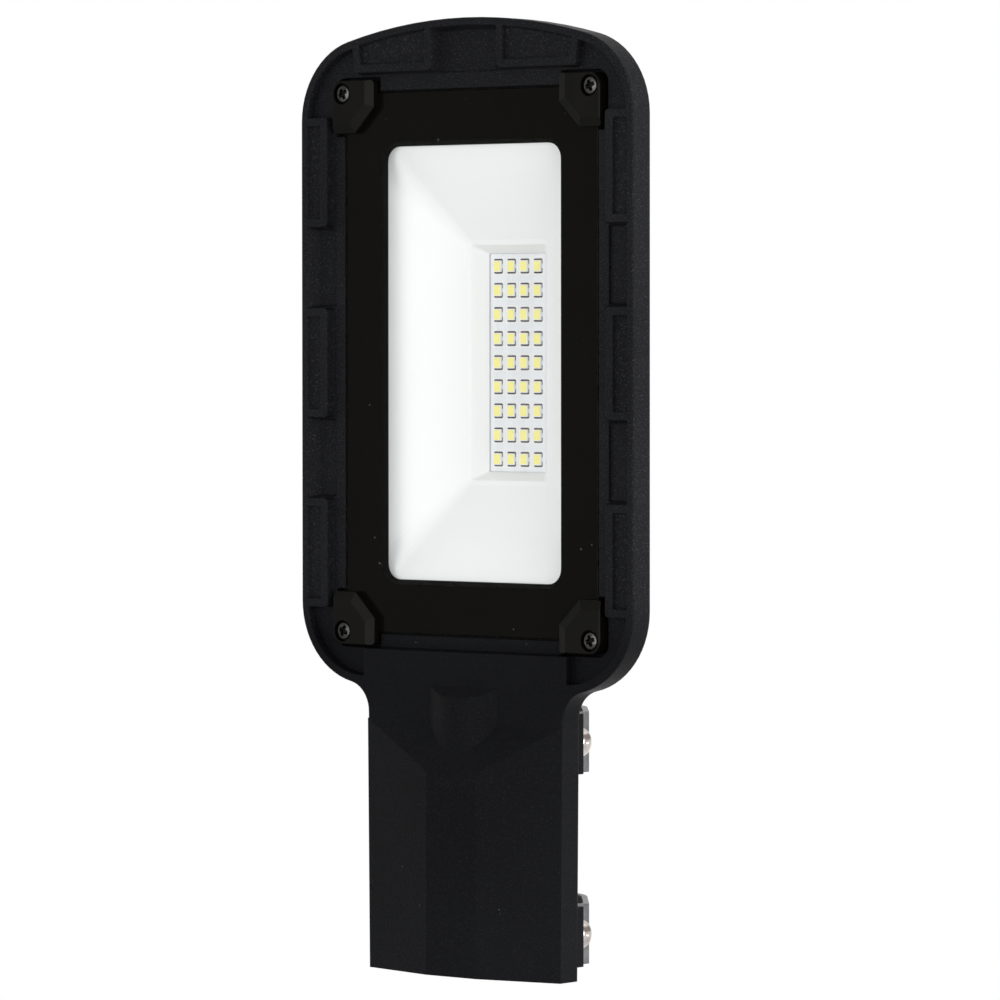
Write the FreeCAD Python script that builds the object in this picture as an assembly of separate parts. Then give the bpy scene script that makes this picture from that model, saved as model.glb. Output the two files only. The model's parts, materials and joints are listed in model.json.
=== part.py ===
"""LED street light head that clamps on the end of a 40 mm pipe arm.

Millimetres. The origin is on the pipe's axis at the mouth of the socket. +Y runs along the
pipe towards the tip of the head, +Z is up in use, and the light leaves towards -Z.
Depths are measured upwards from the rim plane, the lowest flat plane of the head.
"""
import os
from math import acos, cos, pi, radians, sin, sqrt, tan

import FreeCAD, Part

V = FreeCAD.Vector

# Head outline, seen from below
HEAD_HALF_W = 57.5
HEAD_TIP_Y = 255.3
SHOULDER_ARC_Y = 98.6
CORNER_R = 22.0
TIP_R = 163.0
FLANGE_DEPTH = 7.9
RIM_EDGE_R = 0.6
FLANGE_BACK_R = 1.2

# Neck outline and its faceted front
NECK_HALF_W = 33.7
NECK_MOUTH_HALF_W = 33.1
NECK_FILLET_R = 8.0
NECK_PLANE_END_Y = 86.2
FACET_RISE = 5.4
FACET_HALF_W = 8.6
FACET_FOOT_Y = 67.5
FACET_TOP_Y = 54.6

# Pipe socket and the bulge that covers the pipe's end
PIPE_R = 20.0
RIM_TO_AXIS = 18.25
PIPE_STOP_Y = 73.5
BULGE_WALL = 1.6
BULGE_HALF_W = 11.5
BULGE_ROOT_Y = 77.1
BULGE_CREST_Y = 74.1
TROUGH_WALL = 3.0

# Frame round the glass: lip, ledge, blocks and pockets
LIP_W = 2.0
LEDGE_DEPTH = 2.7
LEDGE_SLOPE_W = 0.5
CORNER_LIP_W = 2.3
CORNER_SLOPE_W = 0.3
POCKET_DEPTH = 3.7
POCKET_SLOPE_W = 1.6
POCKET_END_SLOPE_W = 0.9
POCKET_INNER_X = 47.3
BLOCK_INNER_X = 48.1
BLOCK_CORNER_R = 1.1
LEDGE_TIP_Y = 241.6
BLOCK_COUNT = 3
BLOCK_PITCH = 51.6
BLOCK_LENGTH = 29.5
PANEL_DEPTH = 1.2
PANEL_SLOPE_W = 0.5
PANEL_INNER_X = 50.6
PANEL_INSET = 2.2
TIP_POCKET_HALF_W = 11.3
TIP_SLOPE_W = 1.1
TIP_BLOCK_END_X = 38.2
TIP_BLOCK_END_LEAN = 1.6

# Glass and its seat
HEAD_CENTRE_Y = 163.4
OPENING_HALF_W = 44.0
OPENING_HALF_L = 73.3
OPENING_CORNER_CUT = 9.0
GLASS_FRONT_DEPTH = 2.9
GLASS_T = 2.5
GLASS_GAP = 0.5
GASKET_T = 1.0
GASKET_W = 4.4
GASKET_SLACK = 0.05
GASKET_LIP_DEPTH = 3.3
SEAM = 0.3

# Corner clamps and their screws
CLAMP_SCREW_X = 42.8
CLAMP_SCREW_HALF_L = 72.7
CLAMP_W = 14.2
CLAMP_OUTER = 3.5
CLAMP_CHAMFER = 6.8
CLAMP_BEVEL_W = 2.6
CLAMP_BEVEL_DROP = 0.85
CLAMP_CORNER_R = 1.0
CLAMP_EDGE = 0.3
CLAMP_GAP = 0.8
CLAMP_POCKET_DEPTH = 5.5
CLAMP_SCREW_R = 1.25
CLAMP_SCREW_END_DEPTH = 11.5
CLAMP_HEAD_R = 2.2
CLAMP_HEAD_H = 1.75
CLAMP_CBORE_R = 2.9
CLAMP_CBORE_DEPTH = 1.8
CLAMP_BOSS_R = 5.4
CLAMP_BOSS_END_DEPTH = 13.5
THREAD_PLAY = 0.05

# Back body, cavity and cooling fins
BODY_HALF_W = 46.8
BODY_BACK_HALF_W = 38.0
BODY_NECK_Y = 84.0
BODY_TIP_Y = 241.5
BODY_NECK_DRAFT = 3.0
BODY_TIP_DRAFT = 8.0
BODY_CORNER_R = 14.0
BODY_BACK_R = 2.5
FLANGE_WALL = 2.4
FLANGE_FLOOR_DEPTH = 5.6
BACK_FLOOR_T = 3.5
CAVITY_HALF_W = 37.6
CAVITY_HALF_L = 66.9
CAVITY_DRAFT = 2.8
CAVITY_CORNER_R = 10.0
FIN_COUNT = 9
FIN_PITCH = 7.6
FIN_T = 2.2
FIN_H = 7.5
FIN_NECK_Y = 104.0
FIN_TIP_Y = 232.0
FIN_RAMP = 8.0

# Reflector tray
TRAY_T = 1.2
TRAY_UNDER_GLASS = 0.2
TRAY_MOUTH_HALF_W = 37.0
TRAY_MOUTH_IN = 6.9
TRAY_MOUTH_R = 8.0
TRAY_RIM_HALF_W = 13.0
TRAY_RIM_HALF_L = 31.7
TRAY_RIM_R = 3.5
TRAY_RIM_DEPTH = 20.2
TRAY_LAND_W = 1.4
TRAY_LAND_DROP = 0.35
TRAY_FOOT_HALF_W = 9.7
TRAY_FOOT_HALF_L = 29.4
TRAY_FOOT_R = 1.5
TRAY_FOOT_GAP = 0.2

# LED board
BOARD_FRONT_DEPTH = 24.2
BOARD_T = 1.2
PAD_T = 0.3
BOARD_HALF_W = 21.0
BOARD_HALF_L = 38.0
BOARD_SCREW_X = 17.0
BOARD_SCREW_HALF_L = 34.6
LED_COLUMNS = 4
LED_ROWS = 9
LED_PITCH_X = 4.6
LED_PITCH_Y = 6.5
LED_W = 2.6
LED_L = 3.1
LED_H = 0.7
PHOSPHOR_W = 2.15
PHOSPHOR_L = 2.6
PHOSPHOR_DEEP = 0.3
CONTACT_T = 0.08
CONTACT_HALF_W = 1.5
CONTACT_FROM = 0.6
CONTACT_TO = 2.0
CONNECTOR_X = 6.5
CONNECTOR_SIZE = (6.0, 4.5, 3.0)
CONNECTOR_FROM_END = 0.8

# Driver board and its parts
DRIVER_X = (-25.0, 31.0)
DRIVER_FROM_CAVITY_END = 5.1
DRIVER_FROM_LED_BOARD = 2.8
DRIVER_T = 1.6
DRIVER_STANDOFF = 3.0
DRIVER_BOSS_R = 2.6
DRIVER_SCREW_INSET = 2.8
SMALL_SCREW_R = 1.5
SMALL_HEAD_R = 2.7
SMALL_HEAD_H = 1.8
SMALL_SCREW_L = 6.0
BOARD_SCREW_L = 4.2
SEAT_PLAY = 0.02

# Leads between the two boards
LEAD_R = 0.65
LEAD_SPACING = 2.5
LEAD_RISE = 2.4
LEAD_BEND_R = 1.3
LEAD_CLEAR = 0.4

# Earth screw
EARTH_X = -29.6
EARTH_FROM_CAVITY_END = 13.5
EARTH_TAG_R = 3.6
EARTH_TAG_T = 0.8
EARTH_BOSS_H = 3.0
EARTH_BOSS_R = 3.6
EARTH_SCREW_L = 5.0

# Cable gland at the end of the socket
GLAND_FROM_CAVITY = 10.0
GLAND_WALL_T = 3.7
GLAND_THREAD_R = 6.2
GLAND_BORE_R = 4.2
GLAND_CABLE_R = 3.6
GLAND_AF = 14.0
GLAND_FLANGE_T = 4.0
GLAND_SHANK_L = 9.5
GLAND_NUT_L = 6.4
GLAND_NUT_LIP = 1.4
GLAND_NUT_GAP = 0.4
GLAND_LOCK_T = 3.0
GLAND_PLAY = 0.1
GLAND_SPACE_R = 14.0
GLAND_POCKET_HALF_W = 11.0
GLAND_POCKET_ROOF_DEPTH = 9.0

# Strap clamps round the pipe and their screws
STRAP_Y = (11.7, 62.8)
STRAP_W = 16.0
STRAP_T = 1.5
STRAP_PLAY = 0.1
STRAP_INNER_X = 27.5
STRAP_ANGLE = 40.0
STRAP_END_DEPTH = 9.5
STRAP_SCREW_DEPTH = 13.8
STRAP_SCREW_R = 2.0
STRAP_HOLE_R = 2.2
STRAP_HEAD_R = 4.0
STRAP_HEAD_H = 2.2
STRAP_SCREW_TIP_X = 21.8
STRAP_END_R = 2.5
BOSS_END_DEPTH = 16.4
LIP_WALL = 2.0
LIP_END_DEPTH = 9.8
CHANNEL_ROOF_DEPTH = 3.2
CHANNEL_MARGIN = 4.0
CUT_SLACK = 1.0

# Levels worked out from the sizes above
GLASS_BACK_DEPTH = GLASS_FRONT_DEPTH + GLASS_T
SEAT_DEPTH = GLASS_BACK_DEPTH + GASKET_T
TRAY_TOP_DEPTH = GLASS_BACK_DEPTH + TRAY_UNDER_GLASS
TRAY_SEAT_DEPTH = TRAY_TOP_DEPTH + TRAY_T
FLOOR_DEPTH = BOARD_FRONT_DEPTH + BOARD_T + PAD_T
BACK_DEPTH = FLOOR_DEPTH + BACK_FLOOR_T
DRIVER_BACK_DEPTH = FLOOR_DEPTH - DRIVER_STANDOFF
DRIVER_FRONT_DEPTH = DRIVER_BACK_DEPTH - DRIVER_T
CAVITY_NECK_Y = HEAD_CENTRE_Y - CAVITY_HALF_L
GLAND_WALL_Y = CAVITY_NECK_Y - GLAND_FROM_CAVITY
DRIVER_Y = (CAVITY_NECK_Y + DRIVER_FROM_CAVITY_END, HEAD_CENTRE_Y - BOARD_HALF_L - DRIVER_FROM_LED_BOARD)
EARTH_Y = CAVITY_NECK_Y + EARTH_FROM_CAVITY_END
CORNER_X = HEAD_HALF_W - CORNER_R
TIP_CENTRE_Y = HEAD_TIP_Y - TIP_R
TIP_ARC_Y = TIP_CENTRE_Y + sqrt((TIP_R - CORNER_R) ** 2 - CORNER_X ** 2)
BULGE_R = PIPE_R + BULGE_WALL
BULGE_RISE = BULGE_R - sqrt(BULGE_R ** 2 - BULGE_HALF_W ** 2)
TROUGH_HALF_W = PIPE_R + TROUGH_WALL
GLAND_INNER_Y = GLAND_WALL_Y + GLAND_WALL_T
GLAND_FRONT_L = GLAND_NUT_L + GLAND_NUT_GAP - GLAND_NUT_LIP - GLAND_PLAY
GLAND_SEAL_L = GLAND_FRONT_L - GLAND_PLAY
STRAP_OUTER_X = STRAP_INNER_X + STRAP_T


def level(depth):
    """Height of a depth behind the rim plane."""
    return depth - RIM_TO_AXIS


def box(x0, x1, y0, y1, d0, d1):
    return Part.makeBox(x1 - x0, y1 - y0, d1 - d0, V(x0, y0, level(d0)))


def mirrored(shape):
    """The same shape on the other side of the centre plane X = 0."""
    return shape.mirror(V(0, 0, 0), V(1, 0, 0))


def both_sides(shape):
    return shape.fuse(mirrored(shape))


def fused(shapes):
    whole = shapes[0]
    if len(shapes) > 1:
        whole = whole.multiFuse(shapes[1:])
    return whole.removeSplitter()


def polygon(points):
    return Part.Wire(Part.makePolygon(points + [points[0]]).Edges)


def prism(points, run):
    """A closed outline of points, swept straight along run."""
    return Part.Face(polygon(points)).extrude(run)


def prism_along_x(points, x0, x1):
    """An outline of (y, depth) points, swept from x0 to x1."""
    return prism([V(x0, y, level(d)) for y, d in points], V(x1 - x0, 0, 0))


def prism_along_y(points, y0, y1):
    """An outline of (x, depth) points, swept from y0 to y1."""
    return prism([V(x, y0, level(d)) for x, d in points], V(0, y1 - y0, 0))


def prism_down(points, d0, d1):
    """An outline of (x, y) points, swept from depth d0 to d1."""
    return prism([V(x, y, level(d0)) for x, y in points], V(0, 0, d1 - d0))


def sweep_down(wire, depth):
    return Part.Face(wire).extrude(V(0, 0, depth))


def cylinder_down(x, y, radius, d0, d1):
    return Part.makeCylinder(radius, d1 - d0, V(x, y, level(d0)))


def cylinder_along_y(radius, y0, y1, x=0.0, z=0.0):
    return Part.makeCylinder(radius, y1 - y0, V(x, y0, z), V(0, 1, 0))


def loft(lower, upper):
    return Part.makeLoft([lower, upper], True, True)


def arc(centre, radius, angle0, angle1, z):
    """An arc about centre (x, y) at height z, between two angles in radians."""
    points = []
    for angle in (angle0, (angle0 + angle1) / 2, angle1):
        points.append(V(centre[0] + radius * cos(angle), centre[1] + radius * sin(angle), z))
    return Part.Arc(*points).toShape()


def closed_by_lines(arcs):
    """Joins arcs, given in order, by straight edges into one closed wire."""
    edges = []
    for index, this_arc in enumerate(arcs):
        edges.append(this_arc)
        start = this_arc.lastVertex(True).Point
        end = arcs[(index + 1) % len(arcs)].firstVertex(True).Point
        if start.distanceToPoint(end) > 1e-6:
            edges.append(Part.makeLine(start, end))
    return Part.Wire(edges)


def tip_angle():
    """Half the angle that the tip's long arc spans, about its centre."""
    return acos((TIP_ARC_Y - TIP_CENTRE_Y) / (TIP_R - CORNER_R))


def head_arcs(inset, z):
    """The head's arcs from the right shoulder's side, over the tip, to the left shoulder."""
    turn = tip_angle()
    radius = CORNER_R - inset
    return [
        arc((CORNER_X, TIP_ARC_Y), radius, 0, pi / 2 - turn, z),
        arc((0, TIP_CENTRE_Y), TIP_R - inset, pi / 2 - turn, pi / 2 + turn, z),
        arc((-CORNER_X, TIP_ARC_Y), radius, pi / 2 + turn, pi, z),
    ]


def head_wire(inset, depth):
    """The head's outline without the neck, moved inwards by inset."""
    z = level(depth)
    radius = CORNER_R - inset
    shoulders = [
        arc((-CORNER_X, SHOULDER_ARC_Y), radius, pi, 1.5 * pi, z),
        arc((CORNER_X, SHOULDER_ARC_Y), radius, 1.5 * pi, 2 * pi, z),
    ]
    return closed_by_lines(head_arcs(inset, z) + shoulders)


def plan_wire(depth):
    """The outline of head and neck together, with the concave fillets between them."""
    z = level(depth)
    fillet_x = NECK_HALF_W + NECK_FILLET_R
    reach = CORNER_R + NECK_FILLET_R
    fillet_y = SHOULDER_ARC_Y - sqrt(reach ** 2 - (fillet_x - CORNER_X) ** 2)
    lean = acos((SHOULDER_ARC_Y - fillet_y) / reach)
    left = [
        arc((-CORNER_X, SHOULDER_ARC_Y), CORNER_R, pi, 1.5 * pi - lean, z),
        arc((-fillet_x, fillet_y), NECK_FILLET_R, pi / 2 - lean, 0, z),
    ]
    right = [
        arc((fillet_x, fillet_y), NECK_FILLET_R, pi, pi / 2 + lean, z),
        arc((CORNER_X, SHOULDER_ARC_Y), CORNER_R, 1.5 * pi + lean, 2 * pi, z),
    ]
    mouth = Part.makeLine(V(-NECK_MOUTH_HALF_W, 0, z), V(NECK_MOUTH_HALF_W, 0, z))
    return closed_by_lines(head_arcs(0, z) + left + [mouth] + right)


def round_rect_wire(centre_y, half_w, half_l, radius, depth):
    z = level(depth)
    x = half_w - radius
    y = half_l - radius
    corners = [(x, centre_y + y, 0), (-x, centre_y + y, 1), (-x, centre_y - y, 2), (x, centre_y - y, 3)]
    arcs = [arc((cx, cy), radius, turn * pi / 2, (turn + 1) * pi / 2, z) for cx, cy, turn in corners]
    return closed_by_lines(arcs)


def pane_wire(inset, depth):
    """The glass opening's outline, a rectangle with cut corners, moved inwards by inset."""
    z = level(depth)
    w = OPENING_HALF_W - inset
    h = OPENING_HALF_L - inset
    cut = OPENING_CORNER_CUT - inset * (2 - sqrt(2))
    points = [(w, h - cut), (w - cut, h), (cut - w, h), (-w, h - cut)]
    points += [(-w, cut - h), (cut - w, -h), (w - cut, -h), (w, cut - h)]
    return polygon([V(x, HEAD_CENTRE_Y + y, z) for x, y in points])


def pane_ring(outer_inset, inner_inset, d0, d1):
    """A ring between two insets of the opening's outline, from depth d0 to d1."""
    outer = sweep_down(pane_wire(outer_inset, d0), d1 - d0)
    return outer.cut(sweep_down(pane_wire(inner_inset, d0), d1 - d0))


def lip_cutter(lip_w, slope_w, depth):
    """The space inside the head's lip, down to depth, with a wall that slopes in by slope_w."""
    above = 0.5
    over = lip_w - slope_w * above / depth
    return loft(head_wire(over, -above), head_wire(lip_w + slope_w, depth))


def sloped_trench(y0, y1, slope0, slope1, depth, x0, x1):
    """A trench along X from y0 to y1 at the rim plane, with end walls that slope in."""
    above = CUT_SLACK
    outline = [(y0 - slope0 * above / depth, -above), (y1 + slope1 * above / depth, -above)]
    outline += [(y1 - slope1, depth), (y0 + slope0, depth)]
    return prism_along_x(outline, x0, x1)


def corner_rounding(x, y, sx, sy):
    """What a block's upright corner at (x, y) loses to its round; sx and sy point to the outside."""
    r = BLOCK_CORNER_R
    x0, x1 = sorted((x - sx * r, x + sx * CUT_SLACK))
    y0, y1 = sorted((y - sy * r, y + sy * CUT_SLACK))
    whole = box(x0, x1, y0, y1, -CUT_SLACK, LEDGE_DEPTH)
    whole = whole.cut(cylinder_down(x - sx * r, y - sy * r, r, -2 * CUT_SLACK, LEDGE_DEPTH + CUT_SLACK))
    near = box(*sorted((x - sx * r, x)), *sorted((y - sy * r, y)), -CUT_SLACK, LEDGE_DEPTH)
    return whole.common(near)


def clamp_centres():
    """Screw places of the corner clamps, as (name, x, y, sign of x, sign of y)."""
    places = []
    for end, sy in (("tip", 1), ("neck", -1)):
        for side, sx in (("left", -1), ("right", 1)):
            x = sx * CLAMP_SCREW_X
            y = HEAD_CENTRE_Y + sy * CLAMP_SCREW_HALF_L
            places.append((end + "_" + side, x, y, sx, sy))
    return places


def block_centres():
    first = HEAD_CENTRE_Y - BLOCK_PITCH * (BLOCK_COUNT - 1) / 2
    return [first + BLOCK_PITCH * index for index in range(BLOCK_COUNT)]


def housing_flange():
    """The flat head and neck, with a small round on the head's front edge."""
    flange = sweep_down(plan_wire(0), FLANGE_DEPTH)
    front = []
    back = []
    for edge in flange.Edges:
        low, high = edge.BoundBox.ZMin, edge.BoundBox.ZMax
        if high - low > 1e-6:
            continue
        if abs(low - level(0)) < 1e-6 and edge.BoundBox.YMin > FACET_FOOT_Y:
            front.append(edge)
        if abs(low - level(FLANGE_DEPTH)) < 1e-6 and edge.BoundBox.YMin > FACET_FOOT_Y:
            back.append(edge)
    flange = flange.makeFillet(RIM_EDGE_R, front)
    return flange.makeFillet(FLANGE_BACK_R, [e for e in flange.Edges if is_back_edge(e)])


def is_back_edge(edge):
    """Whether an edge runs round the back of the head's flange, past the neck."""
    bounds = edge.BoundBox
    flat = bounds.ZMax - bounds.ZMin < 1e-6
    return flat and abs(bounds.ZMin - level(FLANGE_DEPTH)) < 1e-6 and bounds.YMin > FACET_FOOT_Y


def neck_facets():
    """Three long facets in front of the neck, ended by a sloped plane."""
    root = 2 * RIM_EDGE_R

    def section(half_w, y):
        points = [(-half_w, root), (-half_w, 0), (-FACET_HALF_W, -FACET_RISE)]
        points += [(FACET_HALF_W, -FACET_RISE), (half_w, 0), (half_w, root)]
        return polygon([V(x, y, level(d)) for x, d in points])

    facets = loft(section(NECK_MOUTH_HALF_W, 0), section(NECK_HALF_W, FACET_FOOT_Y))
    slope = FACET_RISE / (FACET_FOOT_Y - FACET_TOP_Y)
    top_y = FACET_TOP_Y - CUT_SLACK / slope
    profile = [(-CUT_SLACK, root), (-CUT_SLACK, -FACET_RISE - CUT_SLACK)]
    profile += [(top_y, -FACET_RISE - CUT_SLACK), (FACET_FOOT_Y, 0), (FACET_FOOT_Y, root)]
    reach = NECK_HALF_W + CUT_SLACK
    return facets.common(prism_along_x(profile, -reach, reach))


def pipe_end_bulge():
    """The round back of the pipe's end, standing out of the neck's flat front."""
    round_part = cylinder_along_y(BULGE_R, FACET_TOP_Y, BULGE_ROOT_Y)
    rise_per_y = BULGE_RISE / (BULGE_ROOT_Y - BULGE_CREST_Y)
    crest = BULGE_RISE + CUT_SLACK
    profile = [(FACET_TOP_Y, CUT_SLACK), (FACET_TOP_Y, -crest)]
    profile += [(BULGE_ROOT_Y - crest / rise_per_y, -crest), (BULGE_ROOT_Y, 0), (BULGE_ROOT_Y, CUT_SLACK)]
    reach = BULGE_HALF_W + CUT_SLACK
    return round_part.common(prism_along_x(profile, -reach, reach))


def body_loft(front_depth):
    """The tapered back body, from front_depth to the back face, on one set of drafts."""
    share = (FLANGE_DEPTH - front_depth) / (BACK_DEPTH - FLANGE_DEPTH)
    narrow = BODY_HALF_W - BODY_BACK_HALF_W

    def section(step, depth):
        low = BODY_NECK_Y + BODY_NECK_DRAFT * step
        high = BODY_TIP_Y - BODY_TIP_DRAFT * step
        half_w = BODY_HALF_W - narrow * step
        return round_rect_wire((low + high) / 2, half_w, (high - low) / 2, BODY_CORNER_R, depth)

    return loft(section(-share, front_depth), section(1, BACK_DEPTH))


def cooling_fins():
    """Ribs along the back, with sloping ends."""
    root = BACK_DEPTH - CUT_SLACK
    top = BACK_DEPTH + FIN_H
    profile = [(FIN_NECK_Y, root), (FIN_NECK_Y, BACK_DEPTH), (FIN_NECK_Y + FIN_RAMP, top)]
    profile += [(FIN_TIP_Y - FIN_RAMP, top), (FIN_TIP_Y, BACK_DEPTH), (FIN_TIP_Y, root)]
    first = -FIN_PITCH * (FIN_COUNT - 1) / 2
    fins = []
    for index in range(FIN_COUNT):
        x = first + FIN_PITCH * index
        fins.append(prism_along_x(profile, x - FIN_T / 2, x + FIN_T / 2))
    return fins


def neck_structure():
    """The half-round trough's block, the strap bosses and the lips over the strap ends."""
    parts = [box(-TROUGH_HALF_W, TROUGH_HALF_W, 0, BODY_NECK_Y + BODY_NECK_DRAFT, 1, RIM_TO_AXIS)]
    for y in STRAP_Y:
        y0 = y - STRAP_W / 2
        y1 = y + STRAP_W / 2
        parts.append(both_sides(box(PIPE_R, STRAP_INNER_X, y0, y1, CHANNEL_ROOF_DEPTH - 1, BOSS_END_DEPTH)))
        lip_x = NECK_MOUTH_HALF_W - LIP_WALL
        parts.append(both_sides(box(lip_x, NECK_MOUTH_HALF_W, y0, y1, FLANGE_DEPTH - 1, LIP_END_DEPTH)))
    return parts


def side_channels():
    """The hollows along both sides of the trough, open at the back."""
    inner = TROUGH_HALF_W
    outer = NECK_MOUTH_HALF_W - LIP_WALL
    y1 = STRAP_Y[1] + STRAP_W / 2
    return both_sides(box(inner, outer, CHANNEL_MARGIN, y1, CHANNEL_ROOF_DEPTH, LIP_END_DEPTH + CUT_SLACK))


def frame_pockets():
    """Everything cut out of the frame round the glass, down to the ledge or deeper."""
    side_space = lip_cutter(LIP_W, POCKET_SLOPE_W, POCKET_DEPTH)
    corner_space = lip_cutter(CORNER_LIP_W, CORNER_SLOPE_W, LEDGE_DEPTH)
    far = HEAD_HALF_W
    slope = LEDGE_SLOPE_W
    cuts = []
    ledge = sloped_trench(NECK_PLANE_END_Y, LEDGE_TIP_Y, slope, slope, LEDGE_DEPTH, -BLOCK_INNER_X, BLOCK_INNER_X)
    cuts.append(ledge.common(corner_space))
    centres = block_centres()
    end_slope = POCKET_END_SLOPE_W
    for lower, upper in zip(centres, centres[1:]):
        y0 = lower + BLOCK_LENGTH / 2
        y1 = upper - BLOCK_LENGTH / 2
        trench = sloped_trench(y0, y1, end_slope, end_slope, POCKET_DEPTH, POCKET_INNER_X, far)
        cuts.append(both_sides(trench.common(side_space)))
    last_end = centres[-1] + BLOCK_LENGTH / 2
    first_end = centres[0] - BLOCK_LENGTH / 2
    end_x = TIP_BLOCK_END_X
    tip_corner = [(end_x, last_end), (end_x, LEDGE_TIP_Y), (end_x + TIP_BLOCK_END_LEAN, HEAD_TIP_Y)]
    tip_corner += [(far, HEAD_TIP_Y), (far, last_end)]
    cuts.append(both_sides(prism_down(tip_corner, -CUT_SLACK, LEDGE_DEPTH + 1).common(corner_space)))
    neck_x = NECK_HALF_W + 1.4
    neck_corner = box(neck_x, far, SHOULDER_ARC_Y - CORNER_R, first_end, -CUT_SLACK, LEDGE_DEPTH + 1)
    cuts.append(both_sides(neck_corner.common(corner_space)))
    cuts.append(tip_pocket())
    for y in centres:
        for sy in (-1, 1):
            cuts.append(both_sides(corner_rounding(BLOCK_INNER_X, y + sy * BLOCK_LENGTH / 2, -1, sy)))
    cuts.append(both_sides(corner_rounding(TIP_POCKET_HALF_W, LEDGE_TIP_Y, -1, -1)))
    cuts.append(both_sides(corner_rounding(TIP_BLOCK_END_X, LEDGE_TIP_Y - slope, 1, -1)))
    return cuts


def tip_pocket():
    """The pocket between the two tip blocks, with sloping side walls."""
    lean = TIP_SLOPE_W / POCKET_DEPTH
    top = TIP_POCKET_HALF_W + lean * CUT_SLACK
    floor = TIP_POCKET_HALF_W - TIP_SLOPE_W
    outline = [(-top, -CUT_SLACK), (top, -CUT_SLACK), (floor, POCKET_DEPTH), (-floor, POCKET_DEPTH)]
    inner_y = LEDGE_TIP_Y - 0.6
    return prism_along_y(outline, inner_y, HEAD_TIP_Y).common(lip_cutter(LIP_W, TIP_SLOPE_W, POCKET_DEPTH))


def block_panels():
    """Shallow panels sunk into the faces of the blocks."""
    inside_lip = lip_cutter(LIP_W, PANEL_SLOPE_W, PANEL_DEPTH)
    far = HEAD_HALF_W
    panels = []
    for y in block_centres():
        half = BLOCK_LENGTH / 2 - PANEL_INSET
        cutter = box(PANEL_INNER_X, far, y - half, y + half, -CUT_SLACK, PANEL_DEPTH)
        panels.append(both_sides(cutter.common(inside_lip)))
    near_x = TIP_POCKET_HALF_W + PANEL_INSET
    end_x = TIP_BLOCK_END_X - PANEL_INSET
    near_y = LEDGE_TIP_Y + PANEL_INSET
    outline = [(near_x, near_y), (end_x, near_y), (end_x + TIP_BLOCK_END_LEAN, HEAD_TIP_Y), (near_x, HEAD_TIP_Y)]
    panels.append(both_sides(prism_down(outline, -CUT_SLACK, PANEL_DEPTH).common(inside_lip)))
    return panels


def clamp_pockets():
    """Room round the corner clamps, cut deeper than the ledge, and their screw holes."""
    cuts = []
    reach = CLAMP_W - CLAMP_OUTER + CLAMP_GAP
    edge = CLAMP_OUTER + CLAMP_GAP
    for _, x, y, sx, sy in clamp_centres():
        x0, x1 = sorted((x - sx * reach, x + sx * edge))
        y0, y1 = sorted((y - sy * reach, y + sy * edge))
        room = box(x0, x1, y0, y1, -CUT_SLACK, CLAMP_POCKET_DEPTH)
        outer = [e for e in room.Edges if is_upright_at(e, x + sx * edge, y + sy * edge)]
        cuts.append(room.makeFillet(CLAMP_OUTER, outer))
        radius = CLAMP_SCREW_R + THREAD_PLAY
        cuts.append(cylinder_down(x, y, radius, 0, CLAMP_SCREW_END_DEPTH + 0.5))
    return cuts


def is_upright_at(edge, x, y):
    bounds = edge.BoundBox
    upright = bounds.ZLength > 1e-3 and bounds.XLength < 1e-3 and bounds.YLength < 1e-3
    return upright and abs(bounds.XMin - x) < 1e-3 and abs(bounds.YMin - y) < 1e-3


def glass_seat_cuts():
    """The opening for the pane, the gasket's seat and the step for the reflector's flange."""
    opening = sweep_down(pane_wire(0, -CUT_SLACK), SEAT_DEPTH + CUT_SLACK)
    step = sweep_down(pane_wire(GASKET_W, 0), TRAY_SEAT_DEPTH)
    cavity_front = round_rect_wire(HEAD_CENTRE_Y, CAVITY_HALF_W, CAVITY_HALF_L, CAVITY_CORNER_R, SEAT_DEPTH)
    cavity_floor = round_rect_wire(HEAD_CENTRE_Y, CAVITY_HALF_W - CAVITY_DRAFT,
                                   CAVITY_HALF_L - CAVITY_DRAFT, CAVITY_CORNER_R, FLOOR_DEPTH)
    return [opening, step, loft(cavity_front, cavity_floor)]


def gland_cuts():
    """The gland's hole, the room round it in the socket and the pocket for its lock nut."""
    half = GLAND_POCKET_HALF_W
    inner_y = HEAD_CENTRE_Y - CAVITY_HALF_L + CAVITY_DRAFT + CUT_SLACK
    pocket = box(-half, half, GLAND_INNER_Y, inner_y, GLAND_POCKET_ROOF_DEPTH, FLOOR_DEPTH)
    hole = cylinder_along_y(GLAND_THREAD_R + THREAD_PLAY, PIPE_STOP_Y, inner_y)
    room = cylinder_along_y(GLAND_SPACE_R, PIPE_STOP_Y - CUT_SLACK, GLAND_WALL_Y)
    return [pocket, hole, room]


def strap_screw_holes():
    holes = []
    z = level(STRAP_SCREW_DEPTH)
    radius = STRAP_SCREW_R + THREAD_PLAY
    tip = STRAP_SCREW_TIP_X - SEAM
    for y in STRAP_Y:
        hole = Part.makeCylinder(radius, STRAP_OUTER_X - tip, V(tip, y, z), V(1, 0, 0))
        holes.append(both_sides(hole))
    return holes


def driver_boss_places():
    inset = DRIVER_SCREW_INSET
    return [(x, y) for x in (DRIVER_X[0] + inset, DRIVER_X[1] - inset)
            for y in (DRIVER_Y[0] + inset, DRIVER_Y[1] - inset)]


def board_screw_places():
    return [(sx * BOARD_SCREW_X, HEAD_CENTRE_Y + sy * BOARD_SCREW_HALF_L) for sx in (-1, 1) for sy in (-1, 1)]


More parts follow.
